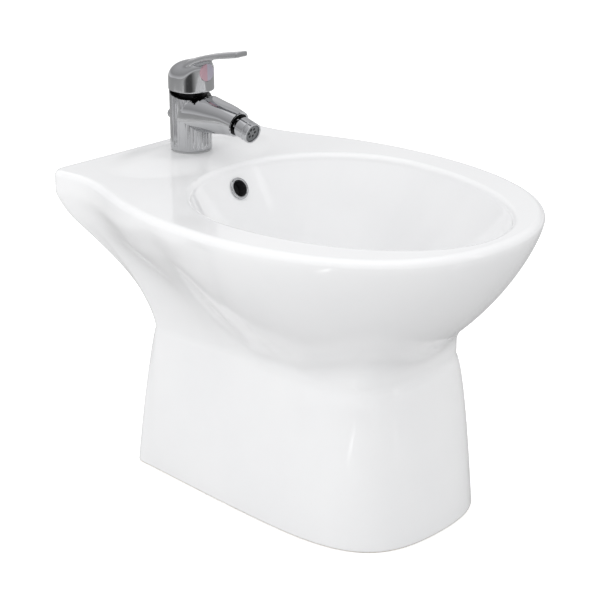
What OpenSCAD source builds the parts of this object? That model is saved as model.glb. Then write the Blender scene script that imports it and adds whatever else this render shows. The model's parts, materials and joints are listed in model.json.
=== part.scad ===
// Floor-standing ceramic bidet with a single-lever mixer, pop-up waste and overflow.
// Millimetres, +Z up, front of the pan towards -Y, wall side towards +Y.
// The origin lies on the floor, half way between the front tip and the rear edge.

/* [Ceramic pan] */
// Length from the front tip of the rim to its rear edge
pan_length = 560; // [530:1:600]
// Full width of the rim at its widest line
rim_width = 411; // [390:1:430]
// Distance of the widest line in front of the middle
rim_wide_y = 12; // [0:1:30]
// Full width of the deck at its rear corners
deck_rear_width = 315; // [300:1:340]
// Radius of the two rear deck corners
deck_corner_r = 13; // [8:1:25]
// Height of the rim above the floor
rim_height = 372; // [355:1:400]
// Rise of the deck under the mixer
deck_crown = 7; // [4:0.5:9]
// Radius rolled over the rim's outer edge
rim_edge = 8.5; // [5:0.5:12]
// Wall thickness of the fired ceramic
wall = 11; // [8:0.5:13]
// Thickness of the deck at its lowest
deck_wall = 11; // [9:0.5:14]

/* [Bowl] */
// Front edge of the bowl opening, ahead of the middle
bowl_front = 258; // [250:1:262]
// Rear edge of the bowl opening, behind the middle
bowl_rear = 130; // [115:1:140]
// Full width of the bowl opening
bowl_width = 312; // [290:1:330]
// Widest line of the bowl opening, ahead of the middle
bowl_wide_y = 21; // [10:1:30]
// Depth of the bowl at the waste
bowl_depth = 140; // [120:1:150]
// Radius rolled over the bowl's inner edge
bowl_lip = 7; // [4:0.5:8]
// Distance of the waste ahead of the middle
waste_y = 28; // [20:1:34]

/* [Pedestal] */
// Front of the foot, ahead of the middle
foot_front = 201; // [185:1:210]
// Rear of the foot, behind the middle
foot_rear = 198; // [190:1:210]
// Full width of the foot at its widest line
foot_width = 245; // [230:1:260]
// Full width of the foot at its rear corners
foot_rear_width = 227; // [215:1:235]
// Front of the waist, ahead of the middle
waist_front = 171; // [160:1:178]
// Rear of the waist, behind the middle
waist_rear = 161; // [155:1:170]
// Full width of the waist
waist_width = 192; // [180:1:200]
// Height of the waist above the floor
waist_height = 187; // [175:1:200]
// Width of the opening in the back of the pedestal
back_width = 150; // [130:1:160]
// Height of the opening in the back
back_height = 335; // [310:1:340]
// Distance between the two floor fixing holes
fixing_spacing = 164; // [156:1:170]
// Diameter of each floor fixing hole
fixing_hole = 8; // [7:0.5:10]
// Distance of the fixing holes behind the middle
fixing_y = 120; // [110:1:122]

/* [Mixer] */
// Distance of the mixer behind the middle
tap_y = 202; // [200:0.5:204]
// Diameter of the mixer's body
tap_d = 50.7; // [50:0.1:53]
// Height of the mixer's body at its rear, above the gasket
tap_h = 72; // [71:0.5:72.5]
// Slope of the body's top, falling to the front
tap_slope = 10; // [8:0.5:11]
// Diameter of the mixer's hole in the deck
tap_hole = 35; // [34:0.5:36]
// Thickness of the base gasket
gasket_t = 2; // [1:0.1:3]
// Diameter of the ceramic-disc cartridge
cartridge_d = 35; // [34:0.5:36]
// Height of the cartridge's seat above the gasket
cartridge_z = 38; // [37:0.5:40]
// Distance of the spout's ball joint ahead of the mixer's axis
spout_reach = 74; // [70:0.5:80]
// Height of the spout's ball joint above the gasket
spout_z = 46; // [44:0.5:48]
// Outer diameter of the spout's end
spout_d = 31; // [30:0.5:32]
// Angle of the nozzle below level
nozzle_drop = 16; // [12:1:20]
// Outer diameter of the aerator housing
nozzle_d = 25; // [23:0.2:25.4]
// Distance from the ball joint to the nozzle's end
nozzle_reach = 34; // [30:0.5:36]
// Diameter of the spout's ball
ball_d = 19; // [18.5:0.1:19.5]
// Distance of the lever's tip ahead of the mixer's axis
lever_reach = 90; // [80:1:100]
// Width of the lever's blade at its tip
blade_w = 18; // [14:0.5:24]
// Thickness of the lever's blade
blade_t = 3.5; // [3:0.25:5]
// Wall thickness of the lever's hub
hub_wall = 3; // [2.5:0.25:3.5]

/* [Waste and fixings] */
// Diameter of the waste hole in the bowl
waste_hole = 46; // [45.5:0.5:48]
// Outer diameter of the waste's tail pipe
tail_d = 32; // [31:0.5:33]
// Diameter of the waste's flange
flange_d = 62; // [58:0.5:64]
// Diameter of the pop-up plug
plug_d = 39; // [38:0.5:41]
// Diameter of the lift rod
rod_d = 5; // [4:0.5:5.5]
// Distance of the lift rod behind the mixer's axis
rod_offset = 13.5; // [13:0.25:14]
// Travel of the lift rod
rod_travel = 26; // [20:1:27]
// Diameter of the overflow hole in the bowl's rear wall
overflow_d = 22; // [20:0.5:24]
// Depth of the overflow's centre below the rim
overflow_drop = 27; // [25:0.5:29]
// Running clearance, radial
run_gap = 0.05; // [0.02:0.01:0.09]
// Loose clearance, radial
loose_gap = 0.4; // [0.2:0.05:0.5]

/* [Hidden] */
eps = 0.01;
$fn = 64;

// Rounded values shared by the pieces
half_l = pan_length / 2;
deck_z = rim_height + deck_crown;
tap_z = deck_z + gasket_t;
seat_proud = 0.3;
bowl_floor_z = rim_height - bowl_depth;
white = [0.96, 0.96, 0.97];
chrome = [0.62, 0.63, 0.65];

// Half outlines, from the front middle round to the rear middle, as points [x, y]
function bez(a, b, c, d, n) = [for (i = [0:n]) let (t = i / n, s = 1 - t)
    s * s * s * a + 3 * s * s * t * b + 3 * s * t * t * c + t * t * t * d];
function half_outline(front, rear, wide, wide_y, rear_w, corner, bow, lean) =
    let (corner_start = [rear_w, rear - corner],
         back = [sin(lean), -cos(lean)])
    concat(
        bez([0, -front], [bow[0], -front], [wide, wide_y - bow[1]], [wide, wide_y], 24),
        bez([wide, wide_y], [wide, wide_y + bow[2]], corner_start + back * bow[3], corner_start, 24),
        [for (a = [0:15:90]) corner_start + corner * [cos(a) - 1, sin(a)]],
        [for (t = [0.9:-0.1:0]) [(rear_w - corner) * t, rear]]);

// Ring stations: bearing round the waste from the front (0) to the rear (180), closer at the corners
half_bearings = concat([for (a = [0:6:132]) a], [for (a = [136:4:144]) a], [for (a = [147:2:161]) a],
    [for (a = [165:5:180]) a]);
half_n = len(half_bearings);
bearings = concat(half_bearings, [for (i = [half_n - 2:-1:1]) 360 - half_bearings[i]]);
ring_n = len(bearings);

// Radius of a half outline at every station
function radii(outline) =
    let (polar = [for (p = outline) [atan2(p[0], -(p[1] + waste_y)), norm([p[0], p[1] + waste_y])]])
    [for (a = half_bearings) lookup(a, polar)];
function clip01(t) = min(max(t, 0), 1);
function smooth(t) = let (u = clip01(t)) u * u * (3 - 2 * u);
function blend_max(a, b, k) = max(a, b) + pow(max(k - abs(a - b), 0), 2) / (4 * k);

rim_bow = [161, 115, 164, 91];
foot_wide_y = -49;
foot_bow = [90, 120, 87, 27];
rim_r = radii(half_outline(half_l, half_l, rim_width / 2, -rim_wide_y, deck_rear_width / 2,
    deck_corner_r, rim_bow, -11));
foot_r = radii(half_outline(foot_front, foot_rear, foot_width / 2, foot_wide_y, foot_rear_width / 2, 12,
    foot_bow, 0));
waist_r = radii(half_outline(waist_front, waist_rear, waist_width / 2, foot_wide_y,
    waist_width / 2 + 12, 12, foot_bow * 0.95, 0));
bowl_r = radii([for (a = [0:4:180]) let (far = a < 90 ? bowl_front - bowl_wide_y : bowl_rear + bowl_wide_y)
    [bowl_width / 2 * sin(a), -bowl_wide_y - far * cos(a)]]);

// Outline of the pan's own bulge: the rim in front, an ellipse behind
bulge_w = bowl_width / 2 + 22;
bulge_rear = bowl_rear + 25;
bulge_ellipse = radii([for (a = [0:4:180]) let (far = a < 90 ? half_l - waste_y : bulge_rear + waste_y)
    [bulge_w * sin(a), -waste_y - far * cos(a)]]);
bulge_r = [for (i = [0:half_n - 1]) let (w = smooth((half_bearings[i] - 80) / 50))
    rim_r[i] * (1 - w) + min(rim_r[i], bulge_ellipse[i]) * w];

// Outer skin: the pedestal flares up to the rim and blends into the bulge of the pan
bulge_drop = 197.5;
flare_top = rim_height - rim_edge;
function pedestal_radius(i, z) = z < waist_height
    ? foot_r[i] + (waist_r[i] - foot_r[i]) * (1 - pow(1 - z / waist_height, 0.6))
    : let (u = clip01((z - waist_height) / (flare_top - waist_height)),
           spread = 1.14 * smooth((half_bearings[i] - 60) / 60))
      waist_r[i] + (rim_r[i] - waist_r[i]) * (1 - pow(1 - pow(u, 1.97), 1.76)) * spread;
function bulge_radius(i, z) =
    bulge_r[i] * pow(max(1 - pow(max(flare_top - z, 0) / bulge_drop, 1.295), 0), 0.4836);
function skin_radius(i, z) =
    min(blend_max(pedestal_radius(i, z), bulge_radius(i, z), 24.7), rim_r[i]);

// Bowl: a fraction s of the opening's radius gives its depth below the lip
sag_round = 2.4;
sag_steep = 0.95;
function bowl_sag(s) = pow(max(1 - pow(s, sag_round), 0), sag_steep);
bowl_wall_depth = bowl_depth - bowl_lip;
function bowl_z(s) = rim_height - bowl_lip - bowl_wall_depth * bowl_sag(s);
// Fraction of the opening's radius that the bowl's inner wall has at a height
function bowl_fraction(z) =
    pow(1 - pow(clip01((rim_height - bowl_lip - z) / bowl_wall_depth), 1 / sag_steep), 1 / sag_round);

// Hollow under the deck and in the pedestal, one wall inside the skin
function hollow_radius(i, z) = min(skin_radius(i, z), skin_radius(i, max(z - 0.8 * wall, 0))) - 0.9 * wall;
// Underside of the bowl, one wall outside its inner face
function under_radius(i, z) = z < bowl_floor_z - wall ? 0
    : bowl_r[i] * bowl_fraction(z + wall) + wall * bowl_fraction(z + wall);
ceiling_z = rim_height - deck_wall;
hollow_gap = 4;
function meet(i, low, high, n) = n == 0 ? low
    : let (mid = (low + high) / 2)
      hollow_radius(i, mid) - under_radius(i, mid) < hollow_gap ? meet(i, low, mid, n - 1)
                                                                : meet(i, mid, high, n - 1);
// The hollow stops at the pan's underside in front and rises to the deck behind
front_top_z = rim_height - 122;
function top_limit(i) = mix(front_top_z, ceiling_z, smooth((half_bearings[i] - 100) / 45));
function free_top(i) = hollow_radius(i, ceiling_z) - under_radius(i, ceiling_z) > hollow_gap
    ? ceiling_z : meet(i, bowl_floor_z - wall, ceiling_z, 12);
top_z = [for (i = [0:half_n - 1]) min(free_top(i), top_limit(i))];

// Deck crown: a flat seat round the mixer that falls away to the rim
crown_half_w = 125;
crown_half_l = 74;
crown_flat = 0.38;
function crown(x, y) = (deck_crown - seat_proud)
    * smooth((1 - norm([x / crown_half_w, (y - tap_y) / crown_half_l])) / (1 - crown_flat));

// One ring of points at a radius and height given for each station; the left half mirrors the right
function ring(radius, height) = [for (k = [0:ring_n - 1])
    let (i = k < half_n ? k : 2 * half_n - 2 - k, a = bearings[k])
    [radius[i] * sin(a), -waste_y - radius[i] * cos(a), height[i]]];
function same(v) = [for (i = [0:half_n - 1]) v];
function lifted(points) = [for (p = points) [p[0], p[1], p[2] + crown(p[0], p[1])]];
function mix(a, b, t) = a * (1 - t) + b * t;

bowl_steps = [0.1, 0.22, 0.36, 0.5, 0.63, 0.75, 0.85, 0.92, 0.97, 1];
lip_steps = [30, 60, 90];
deck_steps = [0.2, 0.4, 0.6, 0.8];
edge_steps = [90, 60, 30, 0];
skin_steps = [340, 315, 290, 265, 243, 224, 209, 197, 187, 177, 166, 150, 130, 100, 60, 25, 0];
hollow_steps = [0, 0.1, 0.25, 0.4, 0.52, 0.62, 0.72, 0.8, 0.87, 0.94, 1];
under_steps = [1, 0.85, 0.65, 0.45, 0.25, 0.1];
deck_inner = bowl_r + same(bowl_lip);
deck_outer = rim_r - same(rim_edge);
function at_height(z) = [for (i = [0:half_n - 1]) skin_radius(i, z)];
under_top = [for (i = [0:half_n - 1]) under_radius(i, top_z[i]) / (bowl_r[i] + wall)];
function under_z(s) = bowl_z(s) - wall;

ceramic_rings = concat(
    [for (s = bowl_steps) ring(bowl_r * s, same(bowl_z(s)))],
    [for (a = lip_steps) ring(bowl_r + same(bowl_lip * (1 - cos(a))),
        same(rim_height - bowl_lip * (1 - sin(a))))],
    [for (t = deck_steps) lifted(ring(mix(deck_inner, deck_outer, t), same(rim_height)))],
    [for (a = edge_steps) ring(deck_outer + same(rim_edge * cos(a)),
        same(flare_top + rim_edge * sin(a)))],
    [for (z = skin_steps) ring(at_height(z), same(z))],
    [for (t = hollow_steps) ring([for (i = [0:half_n - 1]) hollow_radius(i, top_z[i] * t)],
        top_z * t)],
    [for (t = under_steps) ring([for (i = [0:half_n - 1]) (bowl_r[i] + wall) * under_top[i] * t],
        [for (i = [0:half_n - 1]) t == 1 ? top_z[i] : under_z(under_top[i] * t)])]);
ceramic_points = concat([[0, -waste_y, bowl_floor_z]],
    [for (r = ceramic_rings) for (p = r) p], [[0, -waste_y, bowl_floor_z - wall]]);
last_ring = len(ceramic_rings) - 1;
function ring_point(j, k) = 1 + j * ring_n + k % ring_n;
ceramic_faces = concat(
    [for (k = [0:ring_n - 1]) [0, ring_point(0, k + 1), ring_point(0, k)]],
    [for (j = [0:last_ring - 1]) for (k = [0:ring_n - 1]) each [
        [ring_point(j, k), ring_point(j + 1, k + 1), ring_point(j + 1, k)],
        [ring_point(j, k), ring_point(j, k + 1), ring_point(j + 1, k + 1)]]],
    [for (k = [0:ring_n - 1]) [len(ceramic_points) - 1, ring_point(last_ring, k),
        ring_point(last_ring, k + 1)]]);

// Places shared by the pieces
over = 1;
brass = [0.80, 0.66, 0.35];
steel = [0.72, 0.72, 0.72];
rubber = [0.12, 0.12, 0.13];
plastic = [0.90, 0.90, 0.88];
nylon = [0.25, 0.25, 0.28];

// Moves its children to the mixer's axis, on top of its base gasket
module at_tap() { translate([0, tap_y, tap_z]) children(); }
// Moves its children to the waste's axis, keeping their height
module at_waste() { translate([0, -waste_y, 0]) children(); }
// A ring or tube along Z
module tube(outer_r, inner_r, h) {
    difference() {
        cylinder(r = outer_r, h = h);
        translate([0, 0, -over]) cylinder(r = inner_r, h = h + 2 * over);
    }
}
// Cylinder between two points in the plane X = 0, given as [y, z]
module link(a, b, r) {
    d = b - a;
    translate([0, a[0], a[1]]) rotate([-atan2(d[0], d[1]), 0, 0]) cylinder(r = r, h = norm(d));
}

// Overflow: hole square to the bowl's rear wall, then a cast channel down to the waste
overflow_z = rim_height - overflow_drop;
overflow_s = bowl_fraction(overflow_z);
overflow_y = bowl_rear - (1 - overflow_s) * (bowl_rear + waste_y);
bowl_slope = atan((bowl_z(overflow_s + 0.01) - bowl_z(overflow_s - 0.01)) / (0.02 * (bowl_rear + waste_y)));
channel_r = 7.5;
channel_wall = 6;
chamber_r = overflow_d / 2 + channel_wall;
chamber_depth = 22;
chamber = [overflow_y + chamber_depth * sin(bowl_slope), overflow_z - chamber_depth * cos(bowl_slope)];
channel_bend = [bowl_rear - 30, rim_height - 100];
boss_drop = 42;
boss_wall = 15;
boss_r = waste_hole / 2 + boss_wall;
boss_z = bowl_floor_z - boss_drop;
channel_end = [-waste_y + waste_hole / 2, boss_z + 2 * channel_r];
module overflow_axis() {
    translate([0, overflow_y, overflow_z]) rotate([bowl_slope, 0, 0]) children();
}

// Waste seat: a shallow recess in the bowl's floor
seat_depth = 1.5;
seat_z = bowl_floor_z - seat_depth;
flange_t = 3;

// Fixing lugs inside the foot
lug_h = 14;
lug_l = 34;
lug_in = 12;
lug_out = foot_rear_width / 2;

module ceramic_additions() {
    at_tap() translate([0, 0, ceiling_z + over - tap_z])
        cylinder(r = tap_d / 2 + 2, h = deck_z - ceiling_z - over);
    at_waste() translate([0, 0, boss_z]) cylinder(r = boss_r, h = boss_drop - wall / 2);
    overflow_axis() translate([0, 0, -chamber_depth - channel_r - channel_wall])
        cylinder(r = chamber_r, h = chamber_depth + channel_r + channel_wall - wall / 2);
    link(chamber, channel_bend, channel_r + channel_wall);
    translate([0, channel_bend[0], channel_bend[1]]) sphere(r = channel_r + channel_wall + 0.4);
    link(channel_bend, channel_end, channel_r + channel_wall);
    for (side = [-1, 1])
        translate([side * (fixing_spacing / 2 - lug_in), fixing_y - lug_l / 2, 0])
        scale([side, 1, 1])
        cube([lug_out - fixing_spacing / 2 + lug_in, lug_l, lug_h]);
}
module ceramic_cuts() {
    at_tap() translate([0, 0, ceiling_z - tap_z - over])
        cylinder(d = tap_hole, h = deck_z - ceiling_z + 2 * over);
    at_waste() translate([0, 0, boss_z - over]) cylinder(d = waste_hole, h = boss_drop + 2 * over);
    at_waste() translate([0, 0, seat_z]) cylinder(d = flange_d + 3, h = 2 * wall);
    overflow_axis() translate([0, 0, -chamber_depth - channel_r])
        cylinder(d = overflow_d, h = chamber_depth + channel_r + 12);
    link(chamber, channel_bend, channel_r);
    translate([0, channel_bend[0], channel_bend[1]]) sphere(r = channel_r + 0.4);
    link(channel_bend, channel_end, channel_r);
    for (side = [-1, 1]) translate([side * fixing_spacing / 2, fixing_y, -over])
        cylinder(d = fixing_hole, h = lug_h + 2 * over);
    translate([0, fixing_y + lug_l / 2 + 6, 0]) rotate([-90, 0, 0]) linear_extrude(half_l) union() {
        translate([-back_width / 2, -back_height + back_width / 2])
            square([back_width, back_height - back_width / 2 + over]);
        translate([0, -back_height + back_width / 2]) circle(d = back_width);
    }
}
module ceramic_body() {
    color(white)
    difference() {
        union() {
            polyhedron(ceramic_points, ceramic_faces, convexity = 8);
            ceramic_additions();
        }
        ceramic_cuts();
    }
}

module overflow_ring() {
    lip = 3;
    lip_t = 2;
    ring_wall = 2;
    sleeve = 12;
    // The flat lip bridges the hollow curve of the bowl's wall
    curve_gap = 1.3;
    color(chrome) overflow_axis() {
        translate([0, 0, curve_gap]) tube(overflow_d / 2 + lip, overflow_d / 2 - ring_wall, lip_t);
        translate([0, 0, -sleeve])
            tube(overflow_d / 2 - loose_gap, overflow_d / 2 - ring_wall, sleeve + curve_gap);
    }
}

// Mixer body
tap_r = tap_d / 2;
cap_r = tap_r - 5.5;
cartridge_r = cartridge_d / 2;
cartridge_h = 22;
lid_h = 4;
lid_z = cartridge_z + cartridge_h;
nut_z = lid_z + lid_h;
nut_h = 6;
stud_r = 4;
stud_y = -11;
stud_grip = 18;
inlet_r = 5;
inlet_x = 9.5;
inlet_depth = 16;
rod_r = rod_d / 2;
knob_r = 6;
knob_y = tap_r + knob_r + 1.5;
knob_z = 33;
knob_rise = 4;
knob_pin_r = 1.6;
rod_top = knob_z + knob_pin_r + 1;
ball_r = ball_d / 2;
socket_r = ball_r + 1.8;
collar_r = spout_d / 2 - 2;
collar_from = 4.5;
collar_to = 9;

// Moves its children to the ball joint, with Z along the nozzle
module at_nozzle() {
    at_tap() translate([0, -spout_reach, spout_z]) rotate([90 + nozzle_drop, 0, 0]) children();
}
module spout() {
    hull() {
        at_tap() translate([0, -4, spout_z - 18]) cylinder(r = tap_r - 5.5, h = 38, $fn = 32);
        at_nozzle() translate([0, 0, -4]) cylinder(d = spout_d, h = collar_to + 4, $fn = 32);
    }
}
module mixer_body() {
    color(chrome)
    difference() {
        union() {
            at_tap() cylinder(r = tap_r, h = tap_h);
            spout();
        }
        at_tap() {
            translate([0, tap_r, tap_h]) rotate([tap_slope, 0, 0]) translate([-40, -140, 0])
                cube([80, 150, 60]);
            translate([0, 0, cartridge_z]) cylinder(r = cartridge_r + run_gap, h = 60);
            translate([0, 0, nut_z]) cylinder(r = cap_r + run_gap, h = 60);
            for (side = [-1, 1]) {
                translate([side * inlet_x, 1, -over]) cylinder(r = inlet_r, h = inlet_depth + over);
                translate([side * inlet_x, 1, 0]) cylinder(r = 2.5, h = cartridge_z + over);
            }
            translate([0, stud_y, -over]) cylinder(r = stud_r, h = stud_grip + over);
            translate([0, rod_offset, -over]) cylinder(r = rod_r + run_gap, h = rod_top + over + 1);
            translate([-knob_pin_r - loose_gap, rod_offset, knob_z - rod_travel - knob_pin_r - 1])
                cube([2 * (knob_pin_r + loose_gap), tap_r, rod_travel + 2 * knob_pin_r + 2]);
            translate([0, -6, spout_z - 4]) rotate([90, 0, 0]) cylinder(r = 4, h = spout_reach - 6);
        }
        at_nozzle() {
            sphere(r = socket_r + run_gap);
            cylinder(r = socket_r + run_gap, h = collar_from);
            translate([0, 0, collar_from]) cylinder(r = collar_r, h = 20);
        }
    }
}
module tap_gasket() {
    color(rubber) translate([0, tap_y, deck_z]) tube(tap_r - 0.7, tap_hole / 2, gasket_t);
}

// Cartridge, from its seat upwards
disc_t = 3.5;
rotor_r = 12;
rotor_top = 77;
pivot_z = 83;
pin_r = 2;
stem_w = 8;
stem_top = 103;
disc_z = cartridge_z + 2;
rotor_z = disc_z + 2 * disc_t;
module cartridge_body() {
    color(plastic) at_tap() difference() {
        translate([0, 0, cartridge_z]) cylinder(r = cartridge_r, h = cartridge_h);
        translate([0, 0, disc_z]) cylinder(r = cartridge_r - 2, h = cartridge_h);
        for (side = [-1, 1]) translate([side * inlet_x, 1, 0]) cylinder(r = 2.5, h = 60);
        translate([0, -10, 0]) cylinder(r = 3, h = 60);
    }
}
module fixed_disc() {
    color(white) at_tap() difference() {
        translate([0, 0, disc_z]) cylinder(r = cartridge_r - 2 - loose_gap, h = disc_t);
        for (side = [-1, 1]) translate([side * inlet_x, 1, 0]) cylinder(r = 2.5, h = 60);
        translate([0, -10, 0]) cylinder(r = 3, h = 60);
    }
}
module moving_disc() {
    color(white) at_tap() translate([0, 0, disc_z + disc_t]) cylinder(r = rotor_r - 0.5, h = disc_t);
}
module cartridge_rotor() {
    ear_w = 5;
    color(plastic) at_tap() difference() {
        union() {
            translate([0, 0, rotor_z]) cylinder(r = rotor_r, h = rotor_top - rotor_z);
            for (side = [-1, 1]) translate([side * (stem_w / 2 + loose_gap + ear_w / 2), 0, rotor_top])
                translate([-ear_w / 2, -5, -over]) cube([ear_w, 10, pivot_z - rotor_top + 4.5 + over]);
        }
        translate([-40, 0, pivot_z]) rotate([0, 90, 0]) cylinder(r = pin_r, h = 80);
    }
}
module cartridge_pin() {
    pin_half = stem_w / 2 + loose_gap + 5;
    color(steel) at_tap() translate([-pin_half, 0, pivot_z]) rotate([0, 90, 0])
        cylinder(r = pin_r, h = 2 * pin_half);
}
module cartridge_lid() {
    color(plastic) at_tap() translate([0, 0, lid_z]) tube(cartridge_r, rotor_r + run_gap, lid_h);
}
module cartridge_nut() {
    color(brass) at_tap() translate([0, 0, nut_z]) tube(cap_r, rotor_r + 0.8, nut_h);
}
module dome_cap() {
    cap_h = 4.5;
    z = nut_z + nut_h;
    color(chrome) at_tap() rotate_extrude() polygon([[rotor_r + 0.8, z], [cap_r, z], [cap_r, z + 1],
        [cap_r - 1.3, z + 3], [cap_r - 3.5, z + cap_h], [rotor_r + 0.8, z + cap_h]]);
}
module cartridge_stem() {
    color(brass) at_tap() difference() {
        translate([-stem_w / 2, -stem_w / 2, pivot_z - 4]) cube([stem_w, stem_w, stem_top - pivot_z + 4]);
        translate([-40, 0, pivot_z]) rotate([0, 90, 0]) cylinder(r = pin_r + run_gap, h = 80);
    }
}

// Lever: a hub over the cartridge that runs out into a flat blade
hub_z = tap_h + 1.2;
hub_r = tap_r + 0.9;
hub_lead = 4.5;
blade_front = -lever_reach;
// Upper line of the lever seen from the side, as [y, z]
lever_line = [[hub_r + 1, 86], [hub_r - 1, 93], [hub_r - 6, 100.5], [14, 105.5], [3, 109.2], [-13, 112.5],
    [-38, 117.8], [-60, 122.4], [blade_front, 129]];
column_r = 8.5;
column_z = 90.5;
screw_z = 97.5;
screw_r = 2.5;
mark_r = 10.5;
mark_t = 2;
module hub_plan(r) {
    translate([0, 0, hub_z - over]) {
        cylinder(r = r, h = 60);
        translate([0, -hub_lead, 0]) cylinder(r = r - 0.5, h = 60);
        translate([-r + 0.3, -hub_lead, 0]) cube([2 * r - 0.6, hub_lead, 60]);
    }
}
// Solid below the lever's upper line, lowered by a distance
module under_line(drop) {
    rotate([90, 0, 90]) translate([0, -drop, -40]) linear_extrude(80)
        polygon(concat(lever_line, [[blade_front, hub_z], [hub_r + 1, hub_z]]));
}
// Rounded back of the hub as seen from the front, rising towards the blade
vault_rise = 12;
vault_power = 2.45;
vault_z = 86;
vault_h = 23.4;
module vault(inset) {
    half_w = hub_r - inset;
    high = vault_h - inset;
    translate([0, 0, vault_z]) rotate([90 - vault_rise, 0, 0]) linear_extrude(200, center = true)
        polygon(concat([[half_w, -60]], [for (a = [0:10:180]) [
            half_w * sign(cos(a)) * pow(abs(cos(a)), 2 / vault_power), high * pow(sin(a), 2 / vault_power)]],
            [[-half_w, -60]]));
}
module blade() {
    intersection() {
        difference() {
            under_line(0);
            under_line(blade_t);
        }
        translate([0, 0, hub_z]) linear_extrude(80) polygon([[-blade_w / 2, blade_front],
            [blade_w / 2, blade_front], [blade_w / 2 + 1, -70], [blade_w / 2 + 3, -50],
            [blade_w / 2 + 6, -36], [blade_w / 2 + 7.5, -25], [blade_w / 2 + 3, -12], [0, -2],
            [-blade_w / 2 - 3, -12], [-blade_w / 2 - 7.5, -25], [-blade_w / 2 - 6, -36],
            [-blade_w / 2 - 3, -50], [-blade_w / 2 - 1, -70]]);
    }
}
module lever_handle() {
    color(chrome) at_tap() difference() {
        union() {
            difference() {
                intersection() {
                    translate([0, 0, over]) hub_plan(hub_r);
                    under_line(0);
                    vault(0);
                }
                intersection() {
                    hub_plan(hub_r - hub_wall);
                    translate([0, 0, -over]) under_line(hub_wall);
                    vault(hub_wall);
                }
            }
            blade();
            intersection() {
                translate([0, 0, column_z]) cylinder(r = column_r, h = 40);
                under_line(0.5);
            }
            intersection() {
                translate([-5, -hub_r - hub_lead + 1, screw_z - 5]) cube([10, hub_r, 10]);
                under_line(0.5);
            }
        }
        translate([-stem_w / 2 - 0.1, -stem_w / 2 - 0.1, column_z - over])
            cube([stem_w + 0.2, stem_w + 0.2, stem_top + 0.3 - column_z + over]);
        translate([0, 0, screw_z]) rotate([90, 0, 0]) cylinder(r = screw_r, h = 60);
        translate([0, -hub_r - hub_lead + mark_t, screw_z]) rotate([90, 0, 0]) cylinder(r = mark_r, h = 20);
    }
}
module lever_screw() {
    color(steel) at_tap() difference() {
        translate([0, -stem_w / 2, screw_z]) rotate([90, 0, 0]) cylinder(r = screw_r, h = 9);
        translate([0, -stem_w / 2 - 6, screw_z]) rotate([90, 0, 0]) cylinder(r = 1.25, h = 9, $fn = 6);
    }
}
// Half of the round temperature mark on the front of the hub
module mark(side) {
    at_tap() intersection() {
        translate([0, -hub_r - hub_lead + mark_t, screw_z]) rotate([90, 0, 0])
            cylinder(r = mark_r - 0.1, h = mark_t + 0.3);
        translate([side < 0 ? -40 : 0, -60, 0]) cube([40, 60, 200]);
    }
}
module hot_mark() { color([0.75, 0.12, 0.15]) mark(-1); }
module cold_mark() { color([0.15, 0.25, 0.70]) mark(1); }

// Swivel nozzle
neck_r = 5.5;
housing_from = 13;
seat_back = 6;
seat_front = 1.5;
module swivel_seat() {
    color(plastic) at_nozzle() intersection() {
        difference() {
            sphere(r = socket_r);
            sphere(r = ball_r + run_gap);
        }
        translate([0, 0, -seat_back]) cylinder(r = 2 * socket_r, h = seat_back + seat_front);
    }
}
module nozzle_collar() {
    color(chrome) at_nozzle() difference() {
        translate([0, 0, collar_from]) cylinder(r = collar_r - 0.05, h = collar_to - collar_from);
        sphere(r = ball_r + 0.15);
        cylinder(r1 = ball_r - 2.5, r2 = ball_r - 1, h = collar_to + over);
    }
}
module nozzle_ball() {
    color(chrome) at_nozzle() difference() {
        union() {
            sphere(r = ball_r);
            cylinder(r = neck_r, h = housing_from + 1);
        }
        translate([0, 0, -20]) cylinder(r = 3.5, h = 60);
    }
}
module aerator_housing() {
    color(chrome) at_nozzle() difference() {
        translate([0, 0, housing_from]) cylinder(d = nozzle_d, h = nozzle_reach - housing_from);
        translate([0, 0, housing_from - over]) cylinder(r = neck_r, h = 2 + over);
        translate([0, 0, housing_from + 2]) cylinder(r = nozzle_d / 2 - 2, h = 60);
    }
}
module aerator_insert() {
    spokes = 6;
    color(plastic) at_nozzle() translate([0, 0, housing_from + 2]) difference() {
        cylinder(r = nozzle_d / 2 - 2, h = nozzle_reach - housing_from - 4);
        translate([0, 0, 2]) for (i = [0:spokes - 1]) rotate([0, 0, i * 360 / spokes])
            translate([5, 0, 0]) cylinder(r = 1.8, h = 60);
        translate([0, 0, -over]) cylinder(r = 3.5, h = 5);
    }
}

// Fixing under the deck
clamp_r = 26;
clamp_gasket_t = 3;
clamp_t = 2.5;
stud_nut_h = 10;
clamp_z = ceiling_z - clamp_gasket_t - clamp_t;
module horseshoe(z, h) {
    translate([0, tap_y, z]) difference() {
        cylinder(r = clamp_r, h = h);
        translate([-tap_hole / 2, stud_y + stud_r + 1.5, -over]) cube([tap_hole, 2 * clamp_r, h + 2 * over]);
        translate([0, stud_y, -over]) cylinder(r = stud_r + 0.2, h = h + 2 * over);
    }
}
module clamp_gasket() { color(rubber) horseshoe(ceiling_z - clamp_gasket_t, clamp_gasket_t); }
module clamp_washer() { color(steel) horseshoe(clamp_z, clamp_t); }
module mounting_stud() {
    low = clamp_z - stud_nut_h - 12;
    color(steel) translate([0, tap_y + stud_y, low]) cylinder(r = stud_r, h = tap_z + stud_grip - 1 - low);
}
module stud_nut() {
    color(brass) translate([0, tap_y + stud_y, clamp_z - stud_nut_h]) difference() {
        cylinder(r = 7.5, h = stud_nut_h, $fn = 6);
        translate([0, 0, -over]) cylinder(r = stud_r, h = stud_nut_h + 2 * over);
    }
}

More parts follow.
